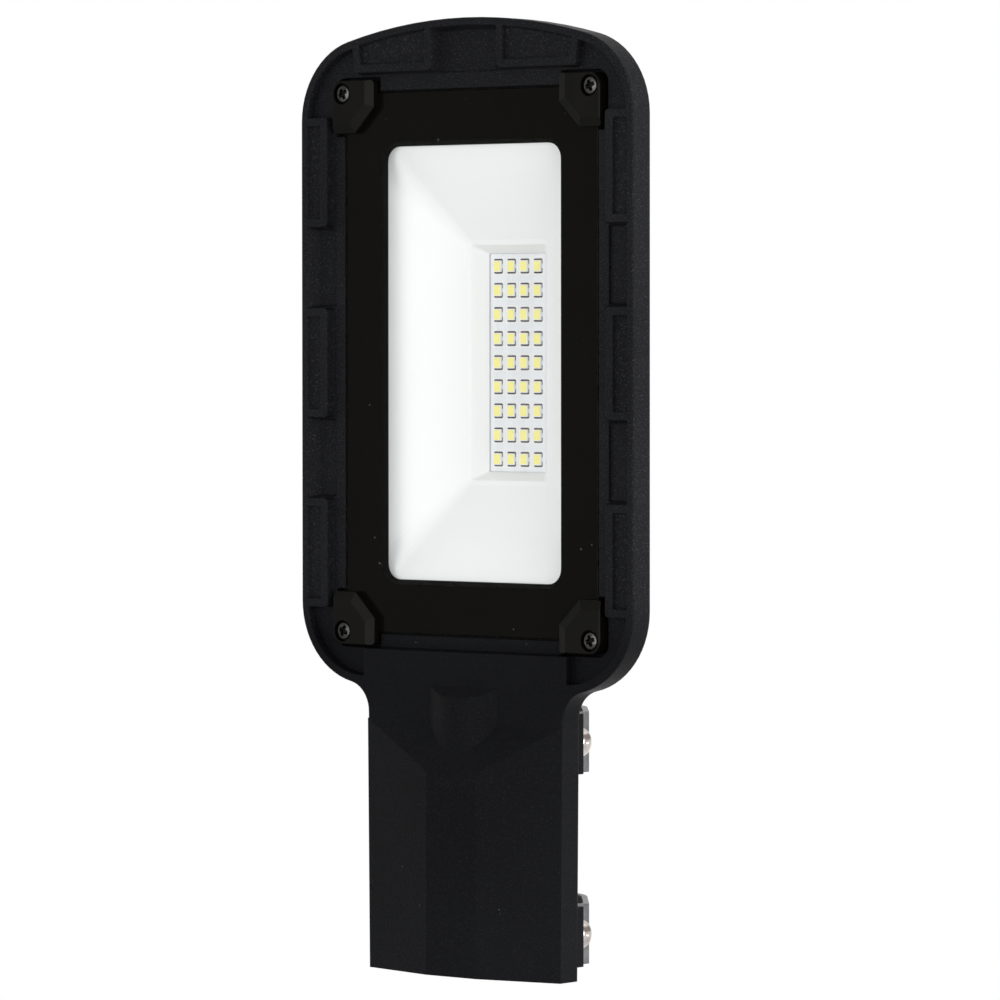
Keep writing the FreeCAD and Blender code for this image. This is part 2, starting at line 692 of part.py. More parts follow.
def inner_bosses():
    """Standoffs for the driver board and the earth screw."""
    root = FLOOR_DEPTH + 0.5
    bosses = [cylinder_down(x, y, DRIVER_BOSS_R, DRIVER_BACK_DEPTH, root) for x, y in driver_boss_places()]
    bosses.append(cylinder_down(EARTH_X, EARTH_Y, EARTH_BOSS_R, FLOOR_DEPTH - EARTH_BOSS_H, root))
    return bosses


def inner_screw_holes():
    radius = SMALL_SCREW_R + THREAD_PLAY
    holes = []
    for x, y in driver_boss_places():
        end = DRIVER_FRONT_DEPTH + SMALL_SCREW_L + 0.3
        holes.append(cylinder_down(x, y, radius, DRIVER_BACK_DEPTH - 1, end))
    for x, y in board_screw_places():
        end = BOARD_FRONT_DEPTH + BOARD_SCREW_L + 0.3
        holes.append(cylinder_down(x, y, radius, BOARD_FRONT_DEPTH, end))
    earth_top = FLOOR_DEPTH - EARTH_BOSS_H
    end = earth_top - EARTH_TAG_T + EARTH_SCREW_L + 0.3
    holes.append(cylinder_down(EARTH_X, EARTH_Y, radius, earth_top - 1, end))
    return holes


def housing():
    """The one-piece casting: flange, faceted neck, socket trough, back body and fins."""
    body = body_loft(FLANGE_FLOOR_DEPTH)
    groove = sweep_down(head_wire(FLANGE_WALL, FLANGE_FLOOR_DEPTH), FLANGE_DEPTH + 1 - FLANGE_FLOOR_DEPTH)
    keep_neck = box(-TROUGH_HALF_W, TROUGH_HALF_W, 0, BODY_NECK_Y + CUT_SLACK, 0, BACK_DEPTH)
    groove = groove.cut(body).cut(keep_neck)
    flange = housing_flange().cut(groove)
    bosses = []
    for _, x, y, _, _ in clamp_centres():
        bosses.append(cylinder_down(x, y, CLAMP_BOSS_R, LEDGE_DEPTH, CLAMP_BOSS_END_DEPTH))
    outside = flange.cut(side_channels())
    for piece in [neck_facets(), pipe_end_bulge(), body] + cooling_fins() + neck_structure() + bosses:
        outside = outside.fuse(piece)
    cuts = frame_pockets() + block_panels() + clamp_pockets() + glass_seat_cuts() + gland_cuts()
    cuts += strap_screw_holes()
    cuts.append(cylinder_along_y(PIPE_R, -CUT_SLACK, PIPE_STOP_Y))
    shell = outside.removeSplitter()
    for cutter in cuts:
        shell = shell.cut(cutter)
    finished = fused([shell] + inner_bosses()).cut(inner_screw_holes())
    return finished.removeSplitter()


def glass_pane():
    return sweep_down(pane_wire(GLASS_GAP, GLASS_FRONT_DEPTH), GLASS_T)


def glass_gasket():
    """An L-shaped ring: a flat seat under the pane and a thin lip round its edge."""
    flat = pane_ring(GASKET_SLACK, GASKET_W, GLASS_BACK_DEPTH, SEAT_DEPTH)
    lip = pane_ring(GASKET_SLACK, GLASS_GAP - GASKET_SLACK, GASKET_LIP_DEPTH, GLASS_BACK_DEPTH)
    return fused([flat, lip])


def clamp_outline(inner_inset, depth):
    """A clamp's outline about its screw, for the corner where both signs are positive."""
    z = level(depth)
    outer = CLAMP_OUTER
    inner = CLAMP_OUTER - CLAMP_W + inner_inset
    cut = CLAMP_CHAMFER - inner_inset * (2 - sqrt(2))
    points = [(inner, outer), (inner, inner + cut), (inner + cut, inner), (outer, inner)]
    corners = [V(x, y, z) for x, y in points]
    round_corner = arc((0, 0), outer, 0, pi / 2, z)
    edges = [Part.makeLine(a, b) for a, b in zip(corners, corners[1:])]
    edges.append(Part.makeLine(corners[-1], round_corner.firstVertex(True).Point))
    edges.append(round_corner)
    edges.append(Part.makeLine(round_corner.lastVertex(True).Point, corners[0]))
    return Part.Wire(edges)


def corner_clamp():
    """A clamp about its own screw: a bevelled block whose foot reaches into its pocket."""
    block = sweep_down(clamp_outline(0, CLAMP_BEVEL_DROP), GLASS_FRONT_DEPTH - CLAMP_BEVEL_DROP)
    crown = loft(clamp_outline(CLAMP_BEVEL_W, 0), clamp_outline(0, CLAMP_BEVEL_DROP))
    foot_end = CLAMP_POCKET_DEPTH - SEAM
    foot = sweep_down(clamp_outline(0, GLASS_FRONT_DEPTH), foot_end - GLASS_FRONT_DEPTH)
    past_x = OPENING_HALF_W - CLAMP_SCREW_X
    past_y = OPENING_HALF_L - CLAMP_SCREW_HALF_L
    line = past_x + past_y - OPENING_CORNER_CUT + SEAM * sqrt(2)
    far = 2 * CLAMP_W
    outside_pane = [(far, far), (line - far, far), (far, line - far)]
    foot = foot.common(prism_down(outside_pane, GLASS_FRONT_DEPTH, foot_end))
    solid = fused([block, crown, foot])
    for corner in clamp_corner_cuts(foot_end):
        solid = solid.cut(corner)
    solid = solid.makeChamfer(CLAMP_EDGE, [e for e in solid.Edges if is_outer_clamp_edge(e)])
    hole = cylinder_down(0, 0, CLAMP_SCREW_R + 2 * THREAD_PLAY, -CUT_SLACK, foot_end + CUT_SLACK)
    cbore = cylinder_down(0, 0, CLAMP_CBORE_R, -CUT_SLACK, CLAMP_CBORE_DEPTH)
    return solid.cut([hole, cbore])


def clamp_corner_cuts(foot_end):
    """What the clamp's two upright corners between inner and outer sides lose to their rounds."""
    r = CLAMP_CORNER_R
    outer = CLAMP_OUTER
    inner = CLAMP_OUTER - CLAMP_W
    over = CUT_SLACK
    high = outer - r
    low = inner + r
    near_x = box(inner - over, low, high, outer + over, -over, foot_end + over)
    near_y = box(high, outer + over, inner - over, low, -over, foot_end + over)
    return [near_x.cut(cylinder_down(low, high, r, -2 * over, foot_end + 2 * over)),
            near_y.cut(cylinder_down(high, low, r, -2 * over, foot_end + 2 * over))]


def is_outer_clamp_edge(edge):
    """Whether an edge runs along the front of the clamp's two outer sides or their round."""
    bounds = edge.BoundBox
    flat = bounds.ZLength < 1e-3 and abs(bounds.ZMin - level(0)) < 1e-3
    on_side = bounds.XMin > CLAMP_OUTER - 1e-3 or bounds.YMin > CLAMP_OUTER - 1e-3
    on_round = bounds.XMin > -1e-3 and bounds.YMin > -1e-3
    return flat and (on_side or on_round)


def placed_clamp(x, y, sx, sy):
    clamp = corner_clamp()
    if sx < 0:
        clamp = clamp.mirror(V(0, 0, 0), V(1, 0, 0))
    if sy < 0:
        clamp = clamp.mirror(V(0, 0, 0), V(0, 1, 0))
    clamp.translate(V(x, y, 0))
    return clamp


def cross_slot(radius, depth, top_z):
    """A cross recess in a head whose top is at top_z, facing -Z."""
    arm = radius * 0.52
    half = radius * 0.13
    along_x = Part.makeBox(2 * arm, 2 * half, depth + CUT_SLACK, V(-arm, -half, top_z - CUT_SLACK))
    along_y = Part.makeBox(2 * half, 2 * arm, depth + CUT_SLACK, V(-half, -arm, top_z - CUT_SLACK))
    return along_x.fuse(along_y).removeSplitter()


def pan_screw(head_r, head_h, shank_r, length, rim_share=0.35):
    """A screw that points along +Z from its head's seat at Z = 0, with a domed head below."""
    rim = head_h * rim_share
    rise = head_h - rim
    dome_r = (head_r ** 2 + rise ** 2) / (2 * rise)
    tip = shank_r * 0.4
    down = V(0, 0, -1)
    ball = Part.makeSphere(dome_r, V(0, 0, dome_r - head_h), V(1, 0, 0))
    head = Part.makeCylinder(head_r, head_h, V(0, 0, 0), down).common(ball)
    shank = Part.makeCylinder(shank_r, length - tip, V(0, 0, 0))
    point = Part.makeCone(shank_r, shank_r - tip, tip, V(0, 0, length - tip))
    screw = head.fuse(shank).fuse(point).removeSplitter()
    return screw.cut(cross_slot(head_r, head_h * 0.65, -head_h))


def plain_screw(head_r, head_h, shank_r, length):
    """A slotted screw with a bevelled head, for places inside the housing."""
    down = V(0, 0, -1)
    bevel = head_h * 0.3
    tip = shank_r * 0.4
    head = Part.makeCylinder(head_r, head_h - bevel, V(0, 0, 0), down)
    crown = Part.makeCone(head_r, head_r - bevel, bevel, V(0, 0, bevel - head_h), down)
    shank = Part.makeCylinder(shank_r, length - tip, V(0, 0, 0))
    point = Part.makeCone(shank_r, shank_r - tip, tip, V(0, 0, length - tip))
    screw = head.fuse(crown).fuse(shank).fuse(point).removeSplitter()
    half = shank_r * 0.22
    slot = Part.makeBox(2 * head_r + 2, 2 * half, head_h * 0.45 + CUT_SLACK, V(-head_r - 1, -half, -head_h - CUT_SLACK))
    return screw.cut(slot)


def placed_down(screw, places, seat_depth):
    """Copies of a screw that point to the back, with their heads seated at seat_depth."""
    screws = []
    for x, y in places:
        one = screw.copy()
        one.translate(V(x, y, level(seat_depth)))
        screws.append(one)
    return Part.makeCompound(screws)


def inner_screws(places, seat_depth, length):
    return placed_down(plain_screw(SMALL_HEAD_R, SMALL_HEAD_H, SMALL_SCREW_R, length), places, seat_depth)


def clamp_screws():
    places = [(x, y) for _, x, y, _, _ in clamp_centres()]
    length = CLAMP_SCREW_END_DEPTH - CLAMP_CBORE_DEPTH
    screw = pan_screw(CLAMP_HEAD_R, CLAMP_HEAD_H, CLAMP_SCREW_R, length, 0.55)
    return placed_down(screw, places, CLAMP_CBORE_DEPTH)


def tray_loft(widen, sections):
    """A funnel through sections of (half width, half length, corner radius, depth)."""
    wires = []
    for half_w, half_l, radius, depth in sections:
        wires.append(round_rect_wire(HEAD_CENTRE_Y, half_w + widen, half_l + widen, radius + widen, depth))
    return Part.makeLoft(wires, True, True)


def reflector():
    """A moulded tray: a flange under the glass, wide slopes, a narrow land and a well round the LEDs."""
    foot_depth = BOARD_FRONT_DEPTH - TRAY_FOOT_GAP
    land = TRAY_LAND_W
    sections = [
        (TRAY_MOUTH_HALF_W, CAVITY_HALF_L - TRAY_MOUTH_IN, TRAY_MOUTH_R, TRAY_TOP_DEPTH),
        (TRAY_RIM_HALF_W + land, TRAY_RIM_HALF_L + land, TRAY_RIM_R + land, TRAY_RIM_DEPTH - TRAY_LAND_DROP),
        (TRAY_RIM_HALF_W, TRAY_RIM_HALF_L, TRAY_RIM_R, TRAY_RIM_DEPTH),
        (TRAY_FOOT_HALF_W, TRAY_FOOT_HALF_L, TRAY_FOOT_R, foot_depth),
    ]
    outer = tray_loft(TRAY_T, sections)
    inner = tray_loft(0, sections)
    flange = sweep_down(pane_wire(GASKET_W + SEAM, TRAY_TOP_DEPTH), TRAY_T)
    return fused([flange, outer]).cut(inner)


def led_places():
    first_x = -LED_PITCH_X * (LED_COLUMNS - 1) / 2
    first_y = HEAD_CENTRE_Y - LED_PITCH_Y * (LED_ROWS - 1) / 2
    return [(first_x + LED_PITCH_X * column, first_y + LED_PITCH_Y * row)
            for row in range(LED_ROWS) for column in range(LED_COLUMNS)]


def led_board():
    half_l = BOARD_HALF_L
    board = sweep_down(round_rect_wire(HEAD_CENTRE_Y, BOARD_HALF_W, half_l, 2, BOARD_FRONT_DEPTH), BOARD_T)
    radius = SMALL_SCREW_R + 2 * THREAD_PLAY
    holes = [cylinder_down(x, y, radius, 0, BACK_DEPTH) for x, y in board_screw_places()]
    return board.cut(holes)


def thermal_pad():
    depth = BOARD_FRONT_DEPTH + BOARD_T
    half_w = BOARD_HALF_W - 1
    half_l = BOARD_HALF_L - 1
    pad = sweep_down(round_rect_wire(HEAD_CENTRE_Y, half_w, half_l, 2, depth), PAD_T)
    radius = SMALL_SCREW_R + 0.5
    return pad.cut([cylinder_down(x, y, radius, 0, BACK_DEPTH) for x, y in board_screw_places()])


def led_packages():
    """White bodies with a recess in front for the phosphor."""
    back = BOARD_FRONT_DEPTH - CONTACT_T
    front = back - LED_H
    bodies = []
    for x, y in led_places():
        body = box(x - LED_W / 2, x + LED_W / 2, y - LED_L / 2, y + LED_L / 2, front, back)
        well = box(x - PHOSPHOR_W / 2, x + PHOSPHOR_W / 2, y - PHOSPHOR_L / 2, y + PHOSPHOR_L / 2,
                   front - 1, front + PHOSPHOR_DEEP)
        bodies.append(body.cut(well))
    return Part.makeCompound(bodies)


def led_phosphors():
    front = BOARD_FRONT_DEPTH - CONTACT_T - LED_H
    half_w = PHOSPHOR_W / 2 - SEAT_PLAY
    half_l = PHOSPHOR_L / 2 - SEAT_PLAY
    fills = [box(x - half_w, x + half_w, y - half_l, y + half_l, front, front + PHOSPHOR_DEEP)
             for x, y in led_places()]
    return Part.makeCompound(fills)


def led_contacts():
    """Two solder pads under each package, one at each end."""
    front = BOARD_FRONT_DEPTH - CONTACT_T
    pads = []
    for x, y in led_places():
        for sign in (-1, 1):
            y0, y1 = sorted((y + sign * CONTACT_FROM, y + sign * CONTACT_TO))
            pads.append(box(x - CONTACT_HALF_W, x + CONTACT_HALF_W, y0, y1, front, BOARD_FRONT_DEPTH))
    return Part.makeCompound(pads)


def led_connector():
    """A two-pole socket on the LED board, open towards the driver."""
    width, length, height = CONNECTOR_SIZE
    y0 = HEAD_CENTRE_Y - BOARD_HALF_L + CONNECTOR_FROM_END
    front = BOARD_FRONT_DEPTH - height
    block = box(CONNECTOR_X - width / 2, CONNECTOR_X + width / 2, y0, y0 + length, front, BOARD_FRONT_DEPTH)
    z = level(BOARD_FRONT_DEPTH - height / 2)
    mouths = [cylinder_along_y(LEAD_R + THREAD_PLAY, y0 - 1, y0 + length / 2, x, z) for x in lead_xs()]
    return block.cut(mouths)


def lead_xs():
    return [CONNECTOR_X - LEAD_SPACING / 2, CONNECTOR_X + LEAD_SPACING / 2]


def rounded_path(points, radius):
    """Straight runs through points, joined by tangent arcs of one radius."""
    edges = []
    start = points[0]
    for before, corner, after in zip(points, points[1:], points[2:]):
        into = (corner - before).normalize()
        out = (after - corner).normalize()
        half_turn = into.getAngle(out) / 2
        trim = radius * tan(half_turn)
        first = corner - into * trim
        last = corner + out * trim
        inward = (out - into).normalize()
        middle = corner + inward * (radius / cos(half_turn) - radius)
        edges.append(Part.makeLine(start, first))
        edges.append(Part.Arc(first, middle, last).toShape())
        start = last
    edges.append(Part.makeLine(start, points[-1]))
    return Part.Wire(edges)


def led_lead(x):
    """A short insulated lead from the driver board's front into the LED connector."""
    _, length, height = CONNECTOR_SIZE
    y_start = DRIVER_Y[1] - 1.9
    y_mouth = HEAD_CENTRE_Y - BOARD_HALF_L + CONNECTOR_FROM_END
    y_end = y_mouth + length / 2
    z_start = level(DRIVER_FRONT_DEPTH)
    z_top = z_start - LEAD_RISE
    z_end = level(BOARD_FRONT_DEPTH - height / 2)
    y_drop = DRIVER_Y[1] + LEAD_CLEAR
    y_land = y_mouth - 0.8 * LEAD_BEND_R
    points = [V(x, y_start, z_start), V(x, y_start, z_top), V(x, y_drop, z_top)]
    points += [V(x, y_land, z_end), V(x, y_end, z_end)]
    path = rounded_path(points, LEAD_BEND_R)
    ring = Part.Wire(Part.makeCircle(LEAD_R, points[0], V(0, 0, 1)))
    return path.makePipeShell([ring], True, False)


def driver_board():
    x0, x1 = DRIVER_X
    y0, y1 = DRIVER_Y
    board = box(x0, x1, y0, y1, DRIVER_FRONT_DEPTH, DRIVER_BACK_DEPTH)
    radius = SMALL_SCREW_R + 2 * THREAD_PLAY
    return board.cut([cylinder_down(x, y, radius, 0, BACK_DEPTH) for x, y in driver_boss_places()])


def on_driver(x0, x1, y0, y1, height):
    """A block that stands on the driver board's front."""
    return box(x0, x1, y0, y1, DRIVER_FRONT_DEPTH - height, DRIVER_FRONT_DEPTH)


def driver_transformer():
    """A small core with its bobbin and winding, on the driver board."""
    y = DRIVER_Y[0] + 1.0
    core = on_driver(0, 13, y + 0.8, y + 9.8, 8.0)
    window = on_driver(2.2, 10.8, y + 0.4, y + 10.2, 6.2).cut(on_driver(2.2, 10.8, y + 0.4, y + 10.2, 1.8))
    winding = on_driver(2.6, 10.4, y, y + 10.6, 5.8).cut(on_driver(2.6, 10.4, y, y + 10.6, 2.2))
    return fused([core.cut(window), winding, on_driver(4.5, 8.5, y + 2.4, y + 8.4, 7.0)])


def driver_capacitor():
    """An electrolytic capacitor that lies along X, with a rolled groove near its base."""
    radius, length = 4.0, 11.0
    x0, y = 13.8, DRIVER_Y[0] + 4.8
    z = level(DRIVER_FRONT_DEPTH) - radius
    can = Part.makeCylinder(radius, length, V(x0, y, z), V(1, 0, 0))
    groove = Part.makeCylinder(radius + 1, 0.8, V(x0 + 1.6, y, z), V(1, 0, 0))
    core = Part.makeCylinder(radius - 0.35, 0.8, V(x0 + 1.6, y, z), V(1, 0, 0))
    return can.cut(groove.cut(core))


def driver_rectifier():
    y = DRIVER_Y[1] - 8.1
    return on_driver(-6.2, -0.6, y, y + 5, 2.4)


def driver_varistor():
    """A disc that stands on its edge."""
    radius = 3.5
    centre = V(-4.6, DRIVER_Y[0] + 1.9, level(DRIVER_FRONT_DEPTH) - radius)
    return Part.makeCylinder(radius, 3.0, centre, V(0, 1, 0))


def terminal_block():
    """A three-pole block with wire mouths and screw wells."""
    x0, pole, y0 = -19.3, 4.2, DRIVER_Y[0] + 5.5
    block = on_driver(x0, x0 + 3 * pole, y0, y0 + 6.4, 7.2)
    cuts = []
    for index in range(3):
        x = x0 + pole * (index + 0.5)
        cuts.append(on_driver(x - 1.3, x + 1.3, y0 - 1, y0 + 2.6, 3.6).cut(
            on_driver(x - 1.3, x + 1.3, y0 - 1, y0 + 2.6, 1.0)))
        cuts.append(cylinder_down(x, y0 + 4.4, 1.2, DRIVER_FRONT_DEPTH - 8, DRIVER_FRONT_DEPTH - 4))
    return block.cut(cuts)


def earth_tag():
    """A ring tag with a crimp barrel that points to the gland."""
    seat = FLOOR_DEPTH - EARTH_BOSS_H
    disc = cylinder_down(EARTH_X, EARTH_Y, EARTH_TAG_R, seat - EARTH_TAG_T, seat)
    tongue = box(EARTH_X - 1.4, EARTH_X + 1.4, EARTH_Y - 8, EARTH_Y, seat - EARTH_TAG_T, seat)
    hole = cylinder_down(EARTH_X, EARTH_Y, SMALL_SCREW_R + 2 * THREAD_PLAY, 0, BACK_DEPTH)
    return fused([disc, tongue]).cut(hole)


def hexagon(across_flats, y0, y1):
    """A hexagonal bar along Y, with its flats facing up and down."""
    radius = across_flats / sqrt(3)
    points = [V(radius * cos(turn * pi / 3), y0, radius * sin(turn * pi / 3)) for turn in range(6)]
    return prism(points, V(0, y1 - y0, 0))


def gland_body():
    flange_y = GLAND_WALL_Y - GLAND_FLANGE_T
    front_y = flange_y - GLAND_FRONT_L
    solid = fused([
        hexagon(GLAND_AF, flange_y, GLAND_WALL_Y),
        cylinder_along_y(GLAND_THREAD_R, GLAND_WALL_Y, GLAND_WALL_Y + GLAND_SHANK_L),
        cylinder_along_y(GLAND_THREAD_R, front_y, flange_y),
    ])
    bore = cylinder_along_y(GLAND_BORE_R, front_y - 1, GLAND_WALL_Y + GLAND_SHANK_L + 1)
    socket = cylinder_along_y(GLAND_BORE_R + 0.9, front_y - 1, flange_y)
    return solid.cut([bore, socket])


def gland_nut():
    """A hexagonal nut whose mouth closes over the seal."""
    y1 = GLAND_WALL_Y - GLAND_FLANGE_T - GLAND_NUT_GAP
    y0 = y1 - GLAND_NUT_L
    nut = hexagon(GLAND_AF, y0, y1)
    bevel = Part.makeCone(GLAND_AF * 0.43, GLAND_AF * 0.62, GLAND_NUT_L, V(0, y0, 0), V(0, 1, 0))
    thread = cylinder_along_y(GLAND_THREAD_R + THREAD_PLAY, y0 + GLAND_NUT_LIP, y1 + 1)
    mouth = cylinder_along_y(GLAND_BORE_R, y0 - 1, y1)
    return nut.common(bevel).cut([thread, mouth])


def gland_seal():
    """A rubber sleeve inside the gland's front, held by the nut's lip."""
    y1 = GLAND_WALL_Y - GLAND_FLANGE_T
    y0 = y1 - GLAND_SEAL_L
    return cylinder_along_y(GLAND_BORE_R + 0.85, y0, y1).cut(cylinder_along_y(GLAND_CABLE_R, y0 - 1, y1 + 1))


def gland_lock_nut():
    nut = hexagon(GLAND_AF, GLAND_INNER_Y, GLAND_INNER_Y + GLAND_LOCK_T)
    return nut.cut(cylinder_along_y(GLAND_THREAD_R + THREAD_PLAY, GLAND_INNER_Y - 1, GLAND_INNER_Y + 5))


def strap_half(inner_x, radius):
    """Right half of a strap's line as (bend point, tangent point), seen along the pipe."""
    angle = radians(STRAP_ANGLE)
    bend_z = (radius - inner_x * cos(angle)) / sin(angle)
    return (inner_x, bend_z), (radius * cos(angle), radius * sin(angle))


def pipe_strap(y):
    """A bent band: flat legs on the bosses, sloping runs, and an arc over the pipe's back."""
    inner_r = PIPE_R + STRAP_PLAY
    outer_r = inner_r + STRAP_T
    y0 = y - STRAP_W / 2
    leg_z = level(STRAP_END_DEPTH)

    def point(pair, side):
        return V(side * pair[0], y0, pair[1])

    edges = []
    ends = []
    for x, radius in ((STRAP_INNER_X, inner_r), (STRAP_OUTER_X, outer_r)):
        bend, tangent = strap_half(x, radius)
        leg = (x, leg_z)
        right = [point(leg, 1), point(bend, 1), point(tangent, 1)]
        left = [point(tangent, -1), point(bend, -1), point(leg, -1)]
        for a, b in list(zip(right, right[1:])) + list(zip(left, left[1:])):
            edges.append(Part.makeLine(a, b))
        edges.append(Part.Arc(right[2], V(0, y0, radius), left[0]).toShape())
        ends.append((right[0], left[2]))
    edges.append(Part.makeLine(ends[0][0], ends[1][0]))
    edges.append(Part.makeLine(ends[0][1], ends[1][1]))
    outline = Part.Wire(Part.__sortEdges__(edges))
    band = Part.Face(outline).extrude(V(0, STRAP_W, 0))
    corners = [e for e in band.Edges if is_leg_corner(e, leg_z)]
    band = band.makeFillet(STRAP_END_R, corners)
    z = level(STRAP_SCREW_DEPTH)
    hole = Part.makeCylinder(STRAP_HOLE_R, 4 * STRAP_INNER_X, V(-2 * STRAP_INNER_X, y, z), V(1, 0, 0))
    return band.cut(hole)


def is_leg_corner(edge, leg_z):
    """Whether an edge is one of the short edges at the corners of a strap's ends."""
    bounds = edge.BoundBox
    short = abs(bounds.XLength - STRAP_T) < 1e-3 and bounds.YLength < 1e-3
    return short and bounds.ZLength < 1e-3 and abs(bounds.ZMin - leg_z) < 1e-3


def strap_screws():
    """Domed screws through the strap legs into the bosses beside the pipe."""
    screws = []
    z = level(STRAP_SCREW_DEPTH)
    length = STRAP_OUTER_X - STRAP_SCREW_TIP_X
    for y in STRAP_Y:
        for side in (-1, 1):
            screw = pan_screw(STRAP_HEAD_R, STRAP_HEAD_H, STRAP_SCREW_R, length)
            screw.rotate(V(0, 0, 0), V(0, 1, 0), -90 * side)
            screw.translate(V(side * STRAP_OUTER_X, y, z))
            screws.append(screw)
    return Part.makeCompound(screws)


def all_nodes():
    """Every node's name and shape."""
    nodes = {
        "housing": housing(),
        "glass_pane": glass_pane(),
        "glass_gasket": glass_gasket(),
    }
    for name, x, y, sx, sy in clamp_centres():
        nodes["corner_clamp_" + name] = placed_clamp(x, y, sx, sy)
    nodes["clamp_screws"] = clamp_screws()
    nodes["reflector"] = reflector()
    nodes["led_board"] = led_board()
    nodes["thermal_pad"] = thermal_pad()
    nodes["led_packages"] = led_packages()
    nodes["led_phosphors"] = led_phosphors()
    nodes["led_contacts"] = led_contacts()
    nodes["led_connector"] = led_connector()
    nodes["led_board_screws"] = inner_screws(board_screw_places(), BOARD_FRONT_DEPTH, BOARD_SCREW_L)
    nodes["driver_board"] = driver_board()
    nodes["driver_screws"] = inner_screws(driver_boss_places(), DRIVER_FRONT_DEPTH, SMALL_SCREW_L)
    nodes["driver_transformer"] = driver_transformer()
    nodes["driver_capacitor"] = driver_capacitor()
    nodes["driver_rectifier"] = driver_rectifier()
    nodes["driver_varistor"] = driver_varistor()
    nodes["terminal_block"] = terminal_block()
    for name, x in zip(("lead_negative", "lead_positive"), lead_xs()):
        nodes[name] = led_lead(x)
    nodes["earth_tag"] = earth_tag()
    earth_seat = FLOOR_DEPTH - EARTH_BOSS_H - EARTH_TAG_T
    nodes["earth_screw"] = inner_screws([(EARTH_X, EARTH_Y)], earth_seat, EARTH_SCREW_L)
    nodes["gland_body"] = gland_body()
    nodes["gland_nut"] = gland_nut()
    nodes["gland_seal"] = gland_seal()
    nodes["gland_lock_nut"] = gland_lock_nut()
    for name, y in zip(("strap_mouth", "strap_head"), STRAP_Y):
        nodes[name] = pipe_strap(y)
    nodes["strap_screws"] = strap_screws()
    return nodes


def main():
    os.makedirs("parts", exist_ok=True)
    for name, shape in all_nodes().items():
        shape.exportStep("parts/" + name + ".step")
        print(name, "solids", len(shape.Solids), "valid", shape.isValid(), "cm3", round(shape.Volume / 1000, 3))


main()
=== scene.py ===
"""Looks of the LED street light head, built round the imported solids. Metres, same frame as the CAD."""
import json
import math
import random

import bmesh
import bpy
from mathutils import Matrix, Vector

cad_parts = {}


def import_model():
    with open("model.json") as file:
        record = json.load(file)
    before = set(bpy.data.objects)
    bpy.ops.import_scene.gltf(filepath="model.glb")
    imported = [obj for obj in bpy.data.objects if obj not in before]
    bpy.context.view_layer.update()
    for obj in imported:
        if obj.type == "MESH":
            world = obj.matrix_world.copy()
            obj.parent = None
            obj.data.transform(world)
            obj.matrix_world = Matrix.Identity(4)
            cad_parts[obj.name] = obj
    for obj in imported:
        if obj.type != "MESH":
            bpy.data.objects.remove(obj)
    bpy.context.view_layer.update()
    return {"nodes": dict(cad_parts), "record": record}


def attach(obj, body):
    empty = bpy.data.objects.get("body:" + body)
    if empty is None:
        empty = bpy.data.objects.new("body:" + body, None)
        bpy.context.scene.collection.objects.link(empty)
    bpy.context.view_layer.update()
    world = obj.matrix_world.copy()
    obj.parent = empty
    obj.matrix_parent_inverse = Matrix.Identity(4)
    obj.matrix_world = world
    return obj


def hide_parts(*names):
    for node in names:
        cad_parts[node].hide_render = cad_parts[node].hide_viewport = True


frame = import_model()
NODES = frame["nodes"]
SCENE = bpy.context.scene
MM = 0.001
RIM_Z = -18.25
RANDOM = random.Random(7)

# Sizes repeated from the solids, in mm
HEAD_CENTRE_Y = 163.4
PANE_HALF_W = 43.5
PANE_HALF_L = 72.8
PANE_CORNER_CUT = 8.7
PANE_FRONT = 2.9
PANE_BACK = 5.4
PRINT_GROW = 1.3
WINDOW_HALF_W = 29.9
WINDOW_HALF_L = 58.3
WINDOW_R = 4.2
WINDOW_SHIFT_Y = -0.1
BOARD_FRONT = 24.2
LED_PITCH = (4.6, 6.5)
LED_GRID = (4, 9)
NECK_END_Y = 88.0
STRAP_SCREW_Y = (11.7, 62.8)
STRAP_SCREW_SEAT = (29.0, 13.8)
CLAMP_SCREW_X = 42.8
CLAMP_SCREW_HALF_L = 72.7
CLAMP_SCREW_SEAT_DEPTH = 1.8
TRAY_TOP = 5.6
TRAY_WALL = 1.2
TRAY_FLANGE_INSET = 4.2
# Half width, half length, corner radius and depth of the tray, from its mouth to its foot
TRAY_SECTIONS = [(37.0, 60.0, 8.0, TRAY_TOP), (14.4, 33.1, 2.0, 19.85), (13.0, 31.7, 0.9, 20.2), (9.7, 29.4, 0.4, 24.0)]
TRAY_UNDER_FLANGE = (36.3, 58.9, 8.7, TRAY_TOP + TRAY_WALL)


def at(x, y, depth):
    """A point in metres, from millimetres and a depth behind the rim plane."""
    return Vector((x * MM, y * MM, (RIM_Z + depth) * MM))


# Node helpers

